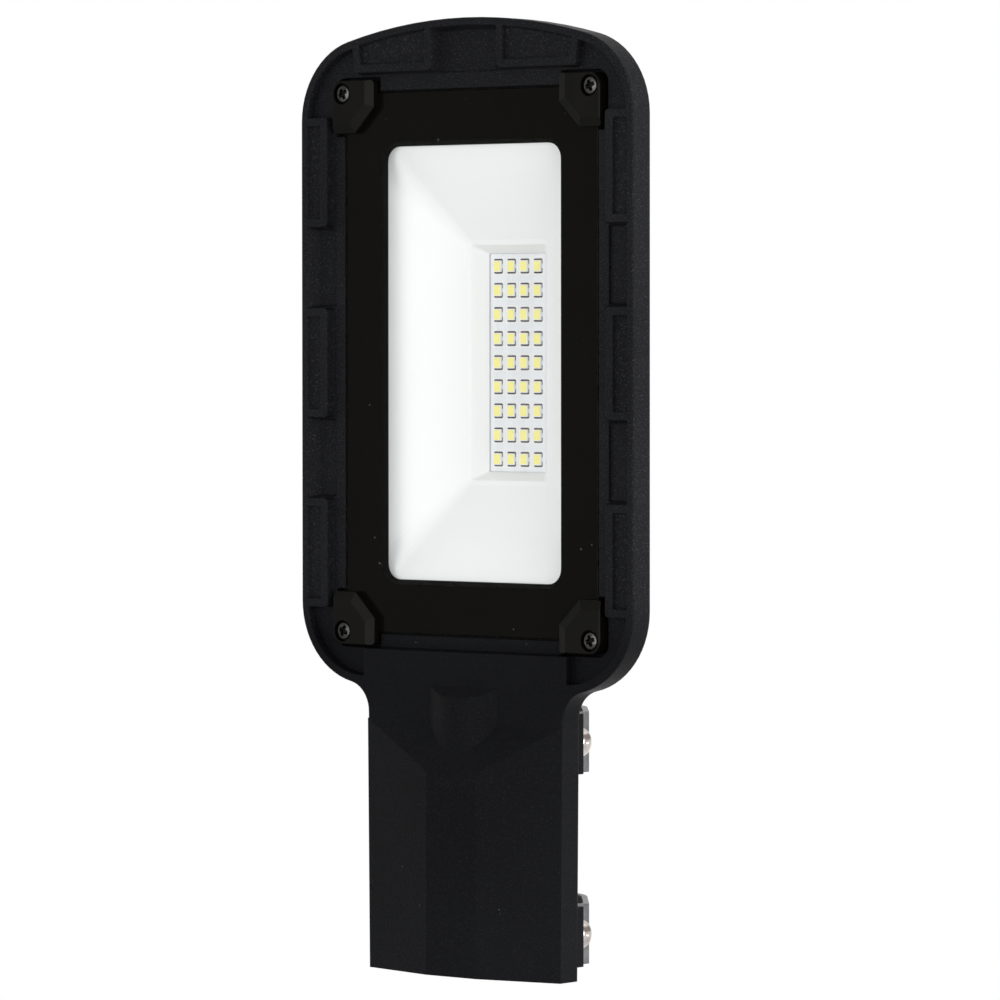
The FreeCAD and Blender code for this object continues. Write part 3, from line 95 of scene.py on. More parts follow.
class Graph:
    """A small wrapper for building a material's nodes."""

    def __init__(self, name):
        self.material = bpy.data.materials.new(name)
        self.material.use_nodes = True
        self.nodes = self.material.node_tree.nodes
        self.links = self.material.node_tree.links
        self.shader = self.nodes["Principled BSDF"]
        self.output = self.nodes["Material Output"]
        coords = self.nodes.new("ShaderNodeTexCoord")
        self.place = coords.outputs["Object"]

    def link(self, source, target):
        self.links.new(source, target)

    def set(self, **values):
        for key, value in values.items():
            self.shader.inputs[key.replace("_", " ")].default_value = value

    def add(self, kind, **inputs):
        node = self.nodes.new(kind)
        for key, value in inputs.items():
            socket = node.inputs[key.replace("_", " ")]
            if hasattr(value, "is_output"):
                self.link(value, socket)
            else:
                socket.default_value = value
        return node

    def noise(self, scale, detail=2.0, roughness=0.5, vector=None):
        node = self.add("ShaderNodeTexNoise", Scale=scale, Detail=detail, Roughness=roughness)
        self.link(vector or self.place, node.inputs["Vector"])
        return node.outputs["Fac"]

    def stretched(self, x, y, z):
        node = self.add("ShaderNodeMapping", Vector=self.place)
        node.inputs["Scale"].default_value = (x, y, z)
        return node.outputs["Vector"]

    def cells(self, scale, vector=None, feature="F1"):
        node = self.nodes.new("ShaderNodeTexVoronoi")
        node.feature = feature
        node.inputs["Scale"].default_value = scale
        self.link(vector or self.place, node.inputs["Vector"])
        return node

    def ramp(self, source, stops):
        node = self.nodes.new("ShaderNodeValToRGB")
        elements = node.color_ramp.elements
        while len(elements) < len(stops):
            elements.new(0.5)
        for element, (position, value) in zip(elements, stops):
            element.position = position
            colour = value if isinstance(value, tuple) else (value, value, value)
            element.color = (*colour, 1)
        self.link(source, node.inputs["Fac"])
        return node.outputs["Color"]

    def mix(self, factor, first, second):
        node = self.nodes.new("ShaderNodeMix")
        node.data_type = "RGBA"
        for socket, value in ((node.inputs[0], factor), (node.inputs[6], first), (node.inputs[7], second)):
            if hasattr(value, "is_output"):
                self.link(value, socket)
            elif isinstance(value, tuple):
                socket.default_value = (*value, 1)
            else:
                socket.default_value = value
        return node.outputs[2]

    def maths(self, operation, first, second=0.0):
        node = self.nodes.new("ShaderNodeMath")
        node.operation = operation
        for socket, value in zip(node.inputs, (first, second)):
            if hasattr(value, "is_output"):
                self.link(value, socket)
            else:
                socket.default_value = value
        return node.outputs[0]

    def bump(self, height, strength, distance, normal=None):
        node = self.add("ShaderNodeBump", Height=height, Strength=strength, Distance=distance)
        if normal:
            self.link(normal, node.inputs["Normal"])
        return node.outputs["Normal"]

    def soft_edges(self, radius):
        node = self.nodes.new("ShaderNodeBevel")
        node.samples = 4
        node.inputs["Radius"].default_value = radius
        return node.outputs["Normal"]

    def finish(self, colour=None, rough=None, normal=None):
        if colour is not None:
            self.link(colour, self.shader.inputs["Base Color"])
        if rough is not None:
            self.link(rough, self.shader.inputs["Roughness"])
        if normal is not None:
            self.link(normal, self.shader.inputs["Normal"])
        return self.material


def powder_coat(name):
    """Black powder coat with a fine orange peel, sparkle and dust; the neck's tones are darker than the head's as
    painted shade.
    """
    g = Graph(name)
    g.set(Specular_IOR_Level=0.04)
    grain = g.noise(2100, 3, 0.65)
    peel = g.noise(900, 2, 0.5)
    cast = g.noise(70, 4, 0.6)
    patches = g.noise(18, 3, 0.5)
    tones = g.ramp(patches, [(0.35, 0.0), (0.7, 1.0)])
    # Painted shade: the neck takes darker tones than the head, though both carry the same coat.
    neck = g.mix(tones, (0.0036, 0.0037, 0.0043), (0.0054, 0.0056, 0.0066))
    head = g.mix(tones, (0.0068, 0.0069, 0.0075), (0.0098, 0.0100, 0.0110))
    split = g.nodes.new("ShaderNodeSeparateXYZ")
    g.link(g.place, split.inputs[0])
    on_head = g.maths("MULTIPLY", g.maths("SUBTRACT", split.outputs["Y"], NECK_END_Y * MM), 70.0)
    on_head = g.maths("MINIMUM", g.maths("MAXIMUM", on_head, 0.0), 1.0)
    colour = g.mix(on_head, neck, head)
    sparkle = g.ramp(g.noise(2900, 1, 0.5), [(0.58, 0.0), (0.74, 1.0)])
    amount = g.maths("ADD", g.maths("MULTIPLY", on_head, 0.25), 0.10)
    colour = g.mix(g.maths("MULTIPLY", sparkle, amount), colour, (0.085, 0.090, 0.108))
    dust = g.cells(330)
    specks = g.ramp(dust.outputs["Distance"], [(0.035, 1.0), (0.06, 0.0)])
    rare = g.ramp(g.noise(120, 1, 0.5), [(0.60, 0.0), (0.64, 1.0)])
    colour = g.mix(g.maths("MULTIPLY", g.maths("MULTIPLY", specks, rare), 0.5), colour, (0.20, 0.20, 0.20))
    rough = g.maths("ADD", g.maths("MULTIPLY", cast, 0.12), 0.36)
    height = g.maths("ADD", grain, g.maths("MULTIPLY", peel, 0.15))
    normal = g.bump(height, 0.7, 0.00016, g.soft_edges(0.0006))
    return g.finish(colour, rough, normal)


def moulded(name, colour, rough=0.45, grain=1500, bump=0.15, edge=0.00025, variation=0.15, spec=0.5):
    """Moulded or painted surface with a fine grain and slight mottling."""
    g = Graph(name)
    g.set(Specular_IOR_Level=spec)
    low = tuple(c * (1 - variation) for c in colour)
    high = tuple(min(1.0, c * (1 + variation)) for c in colour)
    tint = g.mix(g.ramp(g.noise(90, 3, 0.6), [(0.3, 0.0), (0.7, 1.0)]), low, high)
    shine = g.maths("ADD", g.maths("MULTIPLY", g.noise(160, 3, 0.55), 0.16), rough - 0.08)
    normal = g.bump(g.noise(grain, 2, 0.5), bump, 0.00008, g.soft_edges(edge))
    return g.finish(tint, shine, normal)


def metal(name, colour, rough=0.3, direction=(1, 1, 1), brush=0.2, stain=0.25, edge=0.0002):
    """Bare metal with brush marks along a direction and dull stains."""
    g = Graph(name)
    g.set(Metallic=1.0)
    marks = g.noise(600, 4, 0.7, g.stretched(*direction))
    dull = g.noise(260, 4, 0.65)
    low = tuple(c * (1 - stain) for c in colour)
    tint = g.mix(g.ramp(dull, [(0.35, 0.0), (0.65, 1.0)]), low, colour)
    shine = g.maths("ADD", g.maths("MULTIPLY", marks, brush), rough - brush / 2)
    normal = g.bump(marks, 0.12, 0.00005, g.soft_edges(edge))
    return g.finish(tint, shine, normal)


def domed_steel(name):
    """Polished screw steel with a dark band painted above the middle of each strap screw's head as a painted
    reflection.
    """
    g = Graph(name)
    g.set(Metallic=1.0)
    marks = g.noise(600, 4, 0.7)
    dull = g.ramp(g.noise(260, 4, 0.65), [(0.35, 0.0), (0.65, 1.0)])
    tint = g.mix(dull, (0.36, 0.33, 0.31), (0.66, 0.60, 0.57))
    split = g.nodes.new("ShaderNodeSeparateXYZ")
    g.link(g.place, split.inputs[0])
    # Painted reflection: a dark brown band at a fixed height above the middle of each strap screw's head.
    painted_reflection_y = [(y + 1.55) * MM for y in STRAP_SCREW_Y]
    off = [g.maths("ABSOLUTE", g.maths("SUBTRACT", split.outputs["Y"], y)) for y in painted_reflection_y]
    painted_reflection_band = g.ramp(g.maths("MULTIPLY", g.maths("MINIMUM", *off), 500.0), [(0.2, 0.85), (0.55, 0.0)])
    tint = g.mix(painted_reflection_band, tint, (0.06, 0.04, 0.03))
    shine = g.maths("ADD", g.maths("MULTIPLY", marks, 0.14), 0.13)
    return g.finish(tint, shine, g.bump(marks, 0.12, 0.00005, g.soft_edges(0.0002)))


def clear_glass(name):
    """Clear glass that lets light through to what lies behind it."""
    g = Graph(name)
    g.set(Base_Color=(0.985, 0.992, 0.99, 1), Roughness=0.0, IOR=1.5, Transmission_Weight=1.0)
    g.set(Specular_Tint=(0.08, 0.08, 0.08, 1))
    smear = g.bump(g.noise(25, 2, 0.5), 0.02, 0.00002)
    g.link(smear, g.shader.inputs["Normal"])
    rays = g.nodes.new("ShaderNodeLightPath")
    through = g.nodes.new("ShaderNodeBsdfTransparent")
    through.inputs["Color"].default_value = (0.965, 0.97, 0.967, 1)
    pick = g.nodes.new("ShaderNodeMixShader")
    soft = g.maths("MAXIMUM", rays.outputs["Is Shadow Ray"], rays.outputs["Is Diffuse Ray"])
    g.link(soft, pick.inputs[0])
    g.link(g.shader.outputs[0], pick.inputs[1])
    g.link(through.outputs[0], pick.inputs[2])
    g.link(pick.outputs[0], g.output.inputs["Surface"])
    return g.material


def glass_print(name):
    """Baked black print under the pane's polished face, with a few specks of dust."""
    g = Graph(name)
    tint = g.mix(g.noise(40, 3, 0.5), (0.0026, 0.0023, 0.0019), (0.0042, 0.0038, 0.0032))
    dust = g.ramp(g.cells(260).outputs["Distance"], [(0.05, 1.0), (0.09, 0.0)])
    rare = g.ramp(g.noise(150, 1, 0.5), [(0.63, 0.0), (0.67, 1.0)])
    tint = g.mix(g.maths("MULTIPLY", g.maths("MULTIPLY", dust, rare), 0.7), tint, (0.16, 0.15, 0.14))
    g.set(Roughness=0.12, Specular_IOR_Level=0.05)
    return g.finish(tint)


def reflector_plastic(name):
    """Satin white moulding, nearly even in tone, with faint flow marks and rare specks."""
    g = Graph(name)
    g.set(Roughness=0.42, Specular_IOR_Level=0.4)
    tint = g.mix(g.noise(30, 3, 0.5), (0.91, 0.915, 0.905), (0.94, 0.942, 0.935))
    spots = g.ramp(g.cells(170).outputs["Distance"], [(0.03, 1.0), (0.05, 0.0)])
    rare = g.ramp(g.noise(60, 1, 0.5), [(0.62, 0.0), (0.66, 1.0)])
    tint = g.mix(g.maths("MULTIPLY", g.maths("MULTIPLY", spots, rare), 0.3), tint, (0.55, 0.54, 0.50))
    normal = g.bump(g.noise(700, 2, 0.5), 0.08, 0.00005, g.soft_edges(0.0004))
    return g.finish(tint, None, normal)


def phosphor(name):
    """Yellow gel with a fine grain."""
    g = Graph(name)
    g.set(Roughness=0.35)
    tint = g.mix(g.noise(2500, 3, 0.6), (0.99, 0.88, 0.26), (1.0, 0.94, 0.38))
    return g.finish(tint, None, g.bump(g.noise(4200, 2, 0.5), 0.2, 0.00003))


def solder_flux(name):
    """Dark pads with brown and reddish traces of flux."""
    g = Graph(name)
    g.set(Roughness=0.4, Specular_IOR_Level=0.3)
    traces = g.ramp(g.noise(900, 2, 0.5), [(0.45, 0.0), (0.62, 1.0)])
    tint = g.mix(traces, (0.022, 0.018, 0.016), (0.13, 0.055, 0.035))
    return g.finish(tint)


def circuit_board(name, base, mask, track_scale=260):
    """Solder mask over faint tracks."""
    g = Graph(name)
    weave = g.noise(track_scale, 1, 0.4, g.stretched(1, 0.08, 1))
    tracks = g.ramp(weave, [(0.47, 0.0), (0.50, 1.0)])
    tint = g.mix(g.maths("MULTIPLY", tracks, 0.5), base, mask)
    g.set(Roughness=0.42)
    return g.finish(tint, None, g.bump(tracks, 0.15, 0.00005))


MATERIALS = {
    "housing_paint": powder_coat("housing_paint"),
    "clear_glass": clear_glass("clear_glass"),
    "glass_print": glass_print("glass_print"),
    "seal_rubber": moulded("seal_rubber", (0.004, 0.004, 0.004), 0.6, 2200, 0.25, 0.0001, 0.2, 0.08),
    "sealant": moulded("sealant", (0.0012, 0.0012, 0.0012), 0.35, 2600, 0.3, 0.0001, 0.2, 0.04),
    "clamp_plastic": moulded("clamp_plastic", (0.0030, 0.0026, 0.0020), 0.34, 1900, 0.16, 0.0002, 0.2, 0.08),
    "dark_screw_steel": metal("dark_screw_steel", (0.085, 0.082, 0.078), 0.22, (1, 1, 1), 0.16, 0.5),
    "screw_steel": domed_steel("screw_steel"),
    # Painted shade: near-black metal for the faces inside the screws' cross recesses.
    "recess_dark": metal("recess_dark", (0.012, 0.012, 0.012), 0.5, (1, 1, 1), 0.2, 0.4),
    "strap_steel": metal("strap_steel", (0.19, 0.19, 0.195), 0.42, (1, 12, 1), 0.25, 0.35, 0.0004),
    "reflector_plastic": reflector_plastic("reflector_plastic"),
    "board_white": circuit_board("board_white", (0.86, 0.87, 0.89), (0.80, 0.80, 0.81)),
    "led_body": moulded("led_body", (0.95, 0.95, 0.93), 0.4, 2500, 0.1, 0.00006, 0.02),
    "led_phosphor": phosphor("led_phosphor"),
    "solder_metal": metal("solder_metal", (0.30, 0.28, 0.26), 0.35, (1, 1, 1), 0.3, 0.6, 0.00003),
    "solder_flux": solder_flux("solder_flux"),
    "pad_grey": moulded("pad_grey", (0.30, 0.31, 0.33), 0.7, 900, 0.3),
    "connector_white": moulded("connector_white", (0.75, 0.75, 0.71), 0.35),
    "board_green": circuit_board("board_green", (0.02, 0.12, 0.05), (0.03, 0.2, 0.08), 420),
    "ferrite_dark": moulded("ferrite_dark", (0.05, 0.05, 0.05), 0.6, 1200, 0.4),
    "can_sleeve": moulded("can_sleeve", (0.02, 0.025, 0.07), 0.3),
    "chip_black": moulded("chip_black", (0.02, 0.02, 0.02), 0.55, 2500, 0.3),
    "varistor_blue": moulded("varistor_blue", (0.02, 0.07, 0.35), 0.3),
    "terminal_green": moulded("terminal_green", (0.03, 0.22, 0.08), 0.35),
    "lead_red": moulded("lead_red", (0.45, 0.02, 0.02), 0.4),
    "lead_black": moulded("lead_black", (0.015, 0.015, 0.015), 0.4),
    "tag_brass": metal("tag_brass", (0.75, 0.55, 0.25), 0.3),
    "gland_plastic": moulded("gland_plastic", (0.014, 0.014, 0.015), 0.45, 1500, 0.25, 0.0003),
}


def give(obj, *names):
    """Replaces an object's materials by the named ones."""
    obj.data.materials.clear()
    for name in names:
        obj.data.materials.append(MATERIALS[name])


for part in frame["record"]["subparts"]:
    give(NODES[part["node"]], part["material_slot"])


# Mesh helpers

def new_piece(name, mesh, slot_name, *materials):
    piece = bpy.data.objects.new(name, mesh)
    SCENE.collection.objects.link(piece)
    for material in materials or (slot_name,):
        mesh.materials.append(MATERIALS[material])
    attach(piece, "root")
    return piece


def from_bmesh(name, bm, slot_name, *materials, smooth=False):
    bmesh.ops.recalc_face_normals(bm, faces=bm.faces)
    mesh = bpy.data.meshes.new(name)
    bm.to_mesh(mesh)
    bm.free()
    for polygon in mesh.polygons:
        polygon.use_smooth = smooth
    return new_piece(name, mesh, slot_name, *materials)


def pane_points(inset, depth):
    """The pane's outline with cut corners, moved inwards by inset."""
    w = PANE_HALF_W - inset
    h = PANE_HALF_L - inset
    cut = PANE_CORNER_CUT - inset * 0.586
    points = [(w, h - cut), (w - cut, h), (cut - w, h), (-w, h - cut)]
    points += [(-w, cut - h), (cut - w, -h), (w - cut, -h), (w, cut - h)]
    return [at(x, HEAD_CENTRE_Y + y, depth) for x, y in points]


def window_points(depth, steps=8, grow=0.0):
    """The clear window's outline, with round corners, starting on the right-hand side."""
    radius = WINDOW_R + grow
    points = []
    corners = [(1, 1, 0), (-1, 1, 1), (-1, -1, 2), (1, -1, 3)]
    for sx, sy, turn in corners:
        for step in range(steps + 1):
            angle = (turn + step / steps) * math.pi / 2
            x = sx * (WINDOW_HALF_W - WINDOW_R) + radius * math.cos(angle)
            y = sy * (WINDOW_HALF_L - WINDOW_R) + radius * math.sin(angle)
            points.append(at(x, HEAD_CENTRE_Y + WINDOW_SHIFT_Y + y, depth))
    return points


def print_border(bm, outer, window, span):
    """Faces between the pane's outline and the window's, and the window's own face."""
    border = []
    half = span // 2
    for corner in range(4):
        first, second = outer[2 * corner], outer[2 * corner + 1]
        after = outer[(2 * corner + 2) % 8]
        arc = window[corner * span:(corner + 1) * span]
        border.append(bm.faces.new([first] + arc[half::-1]))
        border.append(bm.faces.new([first, second, arc[half]]))
        border.append(bm.faces.new([second] + arc[:half - 1:-1]))
        border.append(bm.faces.new([second, arc[-1], window[(corner + 1) * span % len(window)], after]))
    bm.faces.new(window)
    for face in border:
        face.material_index = 1
    return border


def glass_with_print():
    """The pane with ground edges and its black border, which hides the pane's depth all round."""
    bm = bmesh.new()
    grind = 0.2
    steps = 8
    rings = []
    for inset, depth in ((grind, PANE_FRONT), (0, PANE_FRONT + grind), (0, PANE_BACK - grind), (grind, PANE_BACK)):
        rings.append([bm.verts.new(p) for p in pane_points(inset, depth)])
    for lower, upper in zip(rings, rings[1:]):
        for i in range(8):
            j = (i + 1) % 8
            edge_face = bm.faces.new((lower[i], lower[j], upper[j], upper[i]))
            edge_face.material_index = 1
    border = []
    for ring, depth, grow in ((rings[0], PANE_FRONT, PRINT_GROW), (rings[-1], PANE_BACK, 0.0)):
        window = [bm.verts.new(p) for p in window_points(depth, steps, grow)]
        border += print_border(bm, ring, window, steps + 1)
    bmesh.ops.triangulate(bm, faces=border)
    return from_bmesh("glass_with_print", bm, "clear_glass", "clear_glass", "glass_print")


pane = glass_with_print()
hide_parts("glass_pane")


def ring_of(bm, place, radius, z, count=32):
    points = [(math.cos(2 * math.pi * i / count), math.sin(2 * math.pi * i / count)) for i in range(count)]
    return [bm.verts.new(place @ Vector((radius * c, radius * s, z))) for c, s in points]


def skin(bm, rings, material=0):
    """Quads between rings that have as many points each."""
    for lower, upper in zip(rings, rings[1:]):
        for i in range(len(lower)):
            j = (i + 1) % len(lower)
            bm.faces.new((lower[i], lower[j], upper[j], upper[i])).material_index = material


def cross_ring(bm, place, radius, scale, z, turn):
    """Outline of a cross recess, four arms with a narrow root."""
    arm, half, root = 0.74 * radius * scale, 0.21 * radius * scale, 0.32 * radius * scale
    verts = []
    for quarter in range(4):
        angle = turn + quarter * math.pi / 2
        c, s = math.cos(angle), math.sin(angle)
        for x, y in ((arm, -half), (arm, half), (root, root)):
            px, py = x * c - y * s, x * s + y * c
            verts.append(bm.verts.new(place @ Vector((px, py, z(math.hypot(px, py))))))
    return verts


def screw(bm, place, head_r, head_h, rim, shank_r, length, pitch, turn=None):
    """A threaded screw whose head stands up its own Z, with a cross recess turned by turn, or else a dimple."""
    rise = head_h - rim
    dome_r = (head_r ** 2 + rise ** 2) / (2 * rise)

    def top(r):
        return head_h - dome_r + math.sqrt(dome_r ** 2 - r * r)

    neck = [(shank_r * 0.4, -length), (shank_r * 0.8, -length + shank_r * 0.6)]
    turns = int((length - shank_r) / pitch)
    for index in range(turns, 0, -1):
        neck.append((shank_r * 0.82, -index * pitch))
        neck += [(shank_r, (share - index) * pitch) for share in (0.35, 0.5)]
    profile = neck + [(shank_r, 0.0), (head_r * 0.97, 0.0), (head_r, rim * 0.2), (head_r, rim * 0.8)]
    shares = (0.985, 0.95, 0.90, 0.84) if turn is not None else (0.985, 0.93, 0.85, 0.74, 0.6, 0.45, 0.3, 0.15)
    profile += [(head_r * share, top(head_r * share)) for share in shares]
    if turn is None:
        profile += [(head_r * 0.10, top(0) - 0.1), (head_r * 0.03, top(0) - 0.35)]
    rings = [ring_of(bm, place, r, z) for r, z in profile]
    skin(bm, rings)
    bm.faces.new(rings[0])
    if turn is None:
        bm.faces.new(rings[-1])
        return
    mouth = cross_ring(bm, place, head_r, 1.0, top, turn)
    inner = cross_ring(bm, place, head_r, 0.93, lambda r: top(r) - 0.04 * head_r, turn)
    low = cross_ring(bm, place, head_r, 0.62, lambda r: head_h * 0.42, turn)
    skin(bm, [mouth, inner])
    # The recess walls and floor take the second material, near black as painted shade.
    skin(bm, [inner, low], 1)
    bm.faces.new(low).material_index = 1
    loops = [e for ring in (rings[-1], mouth) for e in edges_round(bm, ring)]
    bmesh.ops.bridge_loops(bm, edges=loops)


def edges_round(bm, ring):
    pairs = zip(ring, ring[1:] + ring[:1])
    return [bm.edges.get(pair) or bm.edges.new(pair) for pair in pairs]


def facing(way, up, centre):
    """Places millimetres whose Z points along way and whose Y points along up."""
    z, y = Vector(way), Vector(up)
    x = y.cross(z)
    turn = Matrix((x, y, z)).transposed().to_4x4()
    return Matrix.Translation(centre) @ turn @ Matrix.Scale(MM, 4)


def clamp_screws():
    bm = bmesh.new()
    turns = iter((20, 31, 17, -24))
    for sy in (1, -1):
        for sx in (-1, 1):
            centre = at(sx * CLAMP_SCREW_X, HEAD_CENTRE_Y + sy * CLAMP_SCREW_HALF_L, CLAMP_SCREW_SEAT_DEPTH)
            place = facing((0, 0, -1), (0, 1, 0), centre)
            screw(bm, place, 2.2, 1.75, 1.35, 1.25, 9.7, 0.6, math.radians(next(turns)))
    piece = from_bmesh("clamp_screws_cross", bm, "dark_screw_steel", "dark_screw_steel", "recess_dark")
    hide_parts("clamp_screws")


def strap_screws():
    bm = bmesh.new()
    seat_x, seat_depth = STRAP_SCREW_SEAT
    for y in STRAP_SCREW_Y:
        for side in (-1, 1):
            place = facing((side, 0, 0), (0, 1, 0), at(side * seat_x, y, seat_depth))
            screw(bm, place, 4.0, 2.2, 0.3, 2.0, 7.2, 0.8)
    piece = from_bmesh("strap_screws_domed", bm, "screw_steel", smooth=True)
    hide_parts("strap_screws")


def rounded_ring(bm, half_w, half_l, radius, depth, steps=6):
    """A rounded rectangle of vertices round the head's centre."""
    verts = []
    for sx, sy, turn in ((1, 1, 0), (-1, 1, 1), (-1, -1, 2), (1, -1, 3)):
        for step in range(steps + 1):
            angle = (turn + step / steps) * math.pi / 2
            x = sx * (half_w - radius) + radius * math.cos(angle)
            y = sy * (half_l - radius) + radius * math.sin(angle)
            verts.append(bm.verts.new(at(x, HEAD_CENTRE_Y + y, depth)))
    return verts


def flange_ring(bm, inset, depth, steps=6):
    """The pane's outline moved inwards, with as many vertices as a rounded ring."""
    points = pane_points(inset, depth)
    verts = []
    for corner in range(4):
        start, end = points[2 * corner], points[2 * corner + 1]
        verts += [bm.verts.new(start.lerp(end, step / steps)) for step in range(steps + 1)]
    return verts


def reflector_tray():
    """The white tray with tight corners round the LEDs."""
    bm = bmesh.new()
    outer = [(w + TRAY_WALL, l + TRAY_WALL, r + TRAY_WALL, depth) for w, l, r, depth in TRAY_SECTIONS[:0:-1]]
    rings = [flange_ring(bm, TRAY_FLANGE_INSET, TRAY_TOP)]
    rings += [rounded_ring(bm, *section) for section in TRAY_SECTIONS + outer + [TRAY_UNDER_FLANGE]]
    rings.append(flange_ring(bm, TRAY_FLANGE_INSET, TRAY_TOP + TRAY_WALL))
    skin(bm, rings + rings[:1])
    piece = from_bmesh("reflector_tray", bm, "reflector_plastic")
    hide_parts("reflector")


def led_places():
    first_x = -LED_PITCH[0] * (LED_GRID[0] - 1) / 2
    first_y = HEAD_CENTRE_Y - LED_PITCH[1] * (LED_GRID[1] - 1) / 2
    for row in range(LED_GRID[1]):
        for column in range(LED_GRID[0]):
            yield first_x + LED_PITCH[0] * column, first_y + LED_PITCH[1] * row


def add_box(bm, x0, x1, y0, y1, d0, d1):
    corners = [at(x, y, d) for d in (d0, d1) for x, y in ((x0, y0), (x1, y0), (x1, y1), (x0, y1))]
    v = [bm.verts.new(c) for c in corners]
    for f in ((0, 1, 2, 3), (4, 5, 6, 7), (0, 1, 5, 4), (1, 2, 6, 5), (2, 3, 7, 6), (3, 0, 4, 7)):
        bm.faces.new([v[i] for i in f])


def add_frame(bm, x, y, half_w, half_l, width, d0, d1):
    """A thin rectangular ring round a point."""
    add_box(bm, x - half_w, x + half_w, y + half_l - width, y + half_l, d0, d1)
    add_box(bm, x - half_w, x + half_w, y - half_l, y - half_l + width, d0, d1)
    for sx in (-1, 1):
        x0, x1 = sorted((x + sx * half_w, x + sx * (half_w - width)))
        add_box(bm, x0, x1, y - half_l + width, y + half_l - width, d0, d1)


def board_marks():
    """White outlines printed round the LEDs."""
    bm = bmesh.new()
    for x, y in led_places():
        add_frame(bm, x, y, 1.95, 2.42, 0.12, BOARD_FRONT - 0.03, BOARD_FRONT)
    return from_bmesh("board_outlines", bm, "led_body")


def add_bump(bm, x, y, half_w, half_l, height, depth, count=8):
    """A low solder bump with a flat base."""
    rings = []
    for share, rise in ((1.0, 0.0), (0.8, 0.6), (0.45, 0.92)):
        ring = []
        for i in range(count):
            angle = 2 * math.pi * i / count
            ring.append(bm.verts.new(at(x + share * half_w * math.cos(angle),
                                        y + share * half_l * math.sin(angle), depth - rise * height)))
        rings.append(ring)
    skin(bm, rings, 1)
    bm.faces.new(rings[-1]).material_index = 1
    bm.faces.new(rings[0]).material_index = 1


def add_pad(bm, x, y, sign, thickness):
    """A pad that reaches past one end of an LED, with two rounded corners."""
    half_w, near, far, r = 1.48, 0.62, 2.0, 0.42
    outline = [(half_w, near)]
    outline += [(half_w - r + r * math.cos(a), far - r + r * math.sin(a)) for a in (0, 0.52, 1.05, 1.57)]
    outline += [(-half_w + r - r * math.cos(a), far - r + r * math.sin(a)) for a in (1.57, 1.05, 0.52, 0)]
    outline.append((-half_w, near))
    rings = []
    for depth in (BOARD_FRONT, BOARD_FRONT - thickness):
        rings.append([bm.verts.new(at(x + px, y + sign * py, depth)) for px, py in outline])
    skin(bm, rings)
    bm.faces.new(rings[0])
    bm.faces.new(rings[1])


def led_solder():
    """Dark pads with bright solder bumps along their free edges."""
    bm = bmesh.new()
    thickness = 0.05
    for x, y in led_places():
        for sign in (-1, 1):
            add_pad(bm, x, y, sign, thickness)
            for dx in (-0.75, 0.0, 0.75):
                width = 0.3 + 0.08 * RANDOM.random()
                height = 0.03 + 0.02 * RANDOM.random()
                add_bump(bm, x + dx, y + sign * 1.78, width, 0.13, height, BOARD_FRONT - thickness)
            for side in (-1, 1):
                add_bump(bm, x + side * 1.39, y + sign * 1.1, 0.07, 0.3, 0.03, BOARD_FRONT - thickness)
    piece = from_bmesh("led_solder", bm, "solder_metal", "solder_flux", "solder_metal")
    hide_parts("led_contacts")


def sealant_bead():
    """A ragged bead of black sealant that fills the gap round the pane."""
    bm = bmesh.new()
    corners = pane_points(-0.25, 0)
    path = []
    for start, end in zip(corners, corners[1:] + corners[:1]):
        count = max(2, round((end - start).length / (1.1 * MM)))
        path += [start.lerp(end, i / count) for i in range(count)]
    centre = at(0, HEAD_CENTRE_Y, 0)
    rings = []
    for point in path:
        out = point - centre
        limits = (PANE_HALF_W * MM, PANE_HALF_L * MM)
        out = Vector([c * abs(c) ** 3 / limit ** 4 for c, limit in zip(out, limits)] + [0]).normalized()
        width = (0.26 + 0.34 * RANDOM.random() ** 3) * MM
        peak = 2.95 - 0.35 * RANDOM.random() ** 2
        ring = []
        slope = (peak + PANE_FRONT) / 2 - 0.04
        profile = ((-1, PANE_FRONT), (-0.5, slope), (0.1, peak), (0.24, 3.25), (-0.24, 3.25))
        for share, depth in profile:
            spot = point + out * share * (width if share < 0 and depth < 3.2 else 0.25 * MM)
            ring.append(bm.verts.new((spot.x, spot.y, (RIM_Z + depth) * MM)))
        rings.append(ring)
    skin(bm, rings + rings[:1])
    return from_bmesh("sealant_bead", bm, "seal_rubber", "sealant")


reflector_tray()
board_marks()
led_solder()
sealant_bead()
clamp_screws()
strap_screws()

# Floor, light and camera

def plane(name, size, z, colour):
    bm = bmesh.new()
    bmesh.ops.create_grid(bm, x_segments=1, y_segments=1, size=size)
    bmesh.ops.translate(bm, verts=bm.verts, vec=(0, 0, z))
    mesh = bpy.data.meshes.new(name)
    bm.to_mesh(mesh)
    bm.free()
    obj = bpy.data.objects.new(name, mesh)
    SCENE.collection.objects.link(obj)
    g = Graph(name)
    tint = g.mix(g.noise(1.5, 2, 0.5), tuple(c * 0.98 for c in colour), colour)
    g.set(Roughness=0.7)
    obj.data.materials.append(g.finish(tint))


plane("floor", 12, -2.6, (0.80, 0.80, 0.80))


def lamp(name, energy, size, azimuth, elevation, distance):
    """An area lamp placed round the head's front. Azimuth 0 is the face's normal and 90 the photo's right."""
    data = bpy.data.lights.new(name, "AREA")
    data.energy = energy
    data.shape = "RECTANGLE"
    data.size, data.size_y = size
    obj = bpy.data.objects.new(name, data)
    SCENE.collection.objects.link(obj)
    a, e = math.radians(azimuth), math.radians(elevation)
    way = Vector((-math.sin(a) * math.cos(e), math.sin(e), -math.cos(a) * math.cos(e)))
    aim = at(0, 140, 0)
    obj.location = aim + way * distance
    obj.rotation_euler = way.to_track_quat("Z", "Y").to_euler()


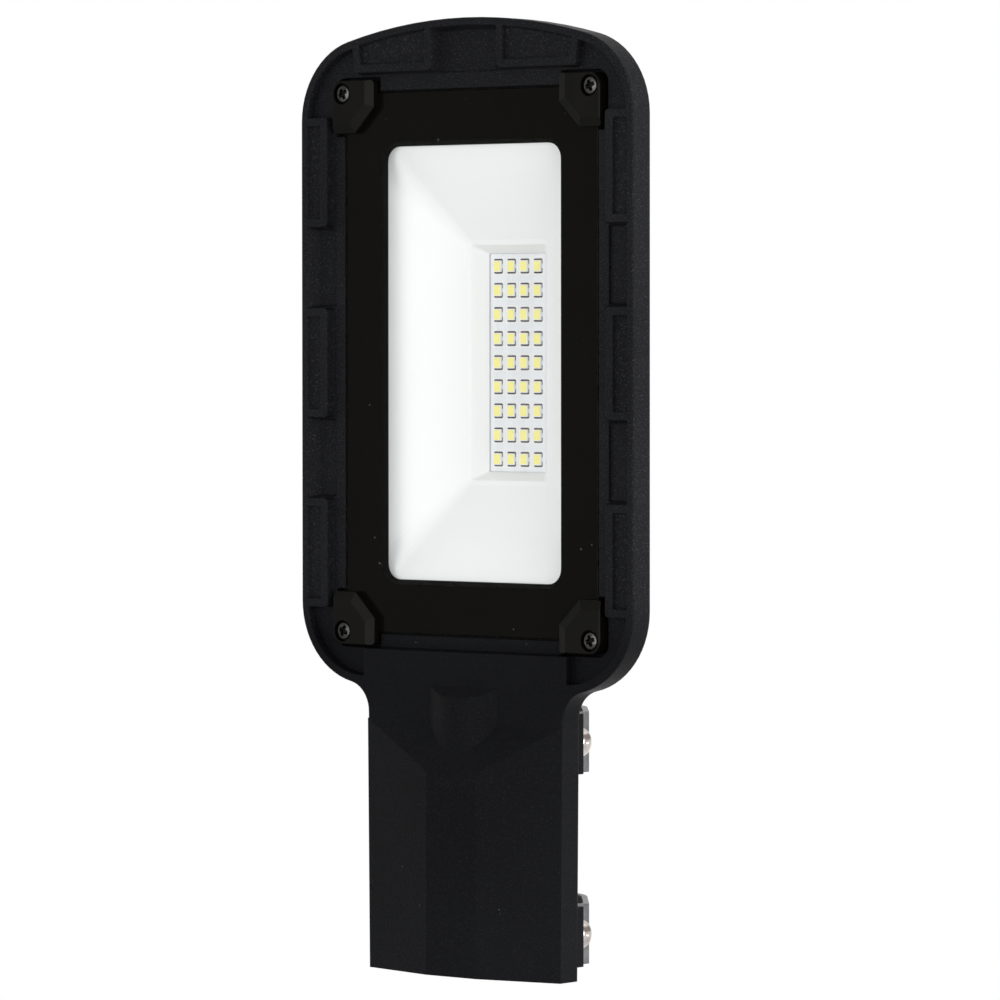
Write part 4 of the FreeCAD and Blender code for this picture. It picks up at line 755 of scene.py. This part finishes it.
lamp("front", 10.5, (1.3, 1.2), -8, 2, 1.9)
lamp("fill", 9.5, (0.8, 1.4), 50, 0, 1.9)
lamp("side", 24, (0.9, 1.6), 94, 4, 1.8)
lamp("rim", 3.0, (0.9, 1.4), 140, 22, 1.8)


def world():
    data = bpy.data.worlds.new("studio")
    SCENE.world = data
    data.use_nodes = True
    nodes, links = data.node_tree.nodes, data.node_tree.links
    nodes.clear()
    rays = nodes.new("ShaderNodeLightPath")
    clear = nodes.new("ShaderNodeMath")
    clear.operation = "MAXIMUM"
    links.new(rays.outputs["Is Camera Ray"], clear.inputs[0])
    links.new(rays.outputs["Is Transmission Ray"], clear.inputs[1])
    shiny = nodes.new("ShaderNodeMath")
    shiny.operation = "MAXIMUM"
    links.new(clear.outputs[0], shiny.inputs[0])
    links.new(rays.outputs["Is Glossy Ray"], shiny.inputs[1])
    soft = nodes.new("ShaderNodeBackground")
    soft.inputs["Color"].default_value = (0.88, 0.89, 0.90, 1)
    soft.inputs["Strength"].default_value = 0.85
    white = nodes.new("ShaderNodeBackground")
    white.inputs["Color"].default_value = (1, 1, 1, 1)
    white.inputs["Strength"].default_value = 1.0
    pick = nodes.new("ShaderNodeMixShader")
    links.new(shiny.outputs[0], pick.inputs[0])
    links.new(soft.outputs[0], pick.inputs[1])
    links.new(white.outputs[0], pick.inputs[2])
    out = nodes.new("ShaderNodeOutputWorld")
    links.new(pick.outputs[0], out.inputs["Surface"])


world()


def camera():
    azimuth, pitch, roll = (math.radians(a) for a in (39.512, 1.599, 0.0405))
    target = at(-12.629, 127.154, 0)
    distance = 1.55813
    data = bpy.data.cameras.new("camera")
    data.sensor_width = 36
    data.lens = 211.678
    data.clip_start = 0.05
    data.clip_end = 50
    obj = bpy.data.objects.new("camera", data)
    SCENE.collection.objects.link(obj)
    level = math.cos(pitch)
    back = Vector((-math.sin(azimuth) * level, math.sin(pitch), -math.cos(azimuth) * level))
    right = Vector((0, 1, 0)).cross(back).normalized()
    up = back.cross(right)
    turn = Matrix((right, up, back)).transposed() @ Matrix.Rotation(-roll, 3, "Z")
    obj.matrix_world = Matrix.Translation(target + back * distance) @ turn.to_4x4()
    SCENE.camera = obj


camera()
SCENE.view_settings.view_transform = "Standard"
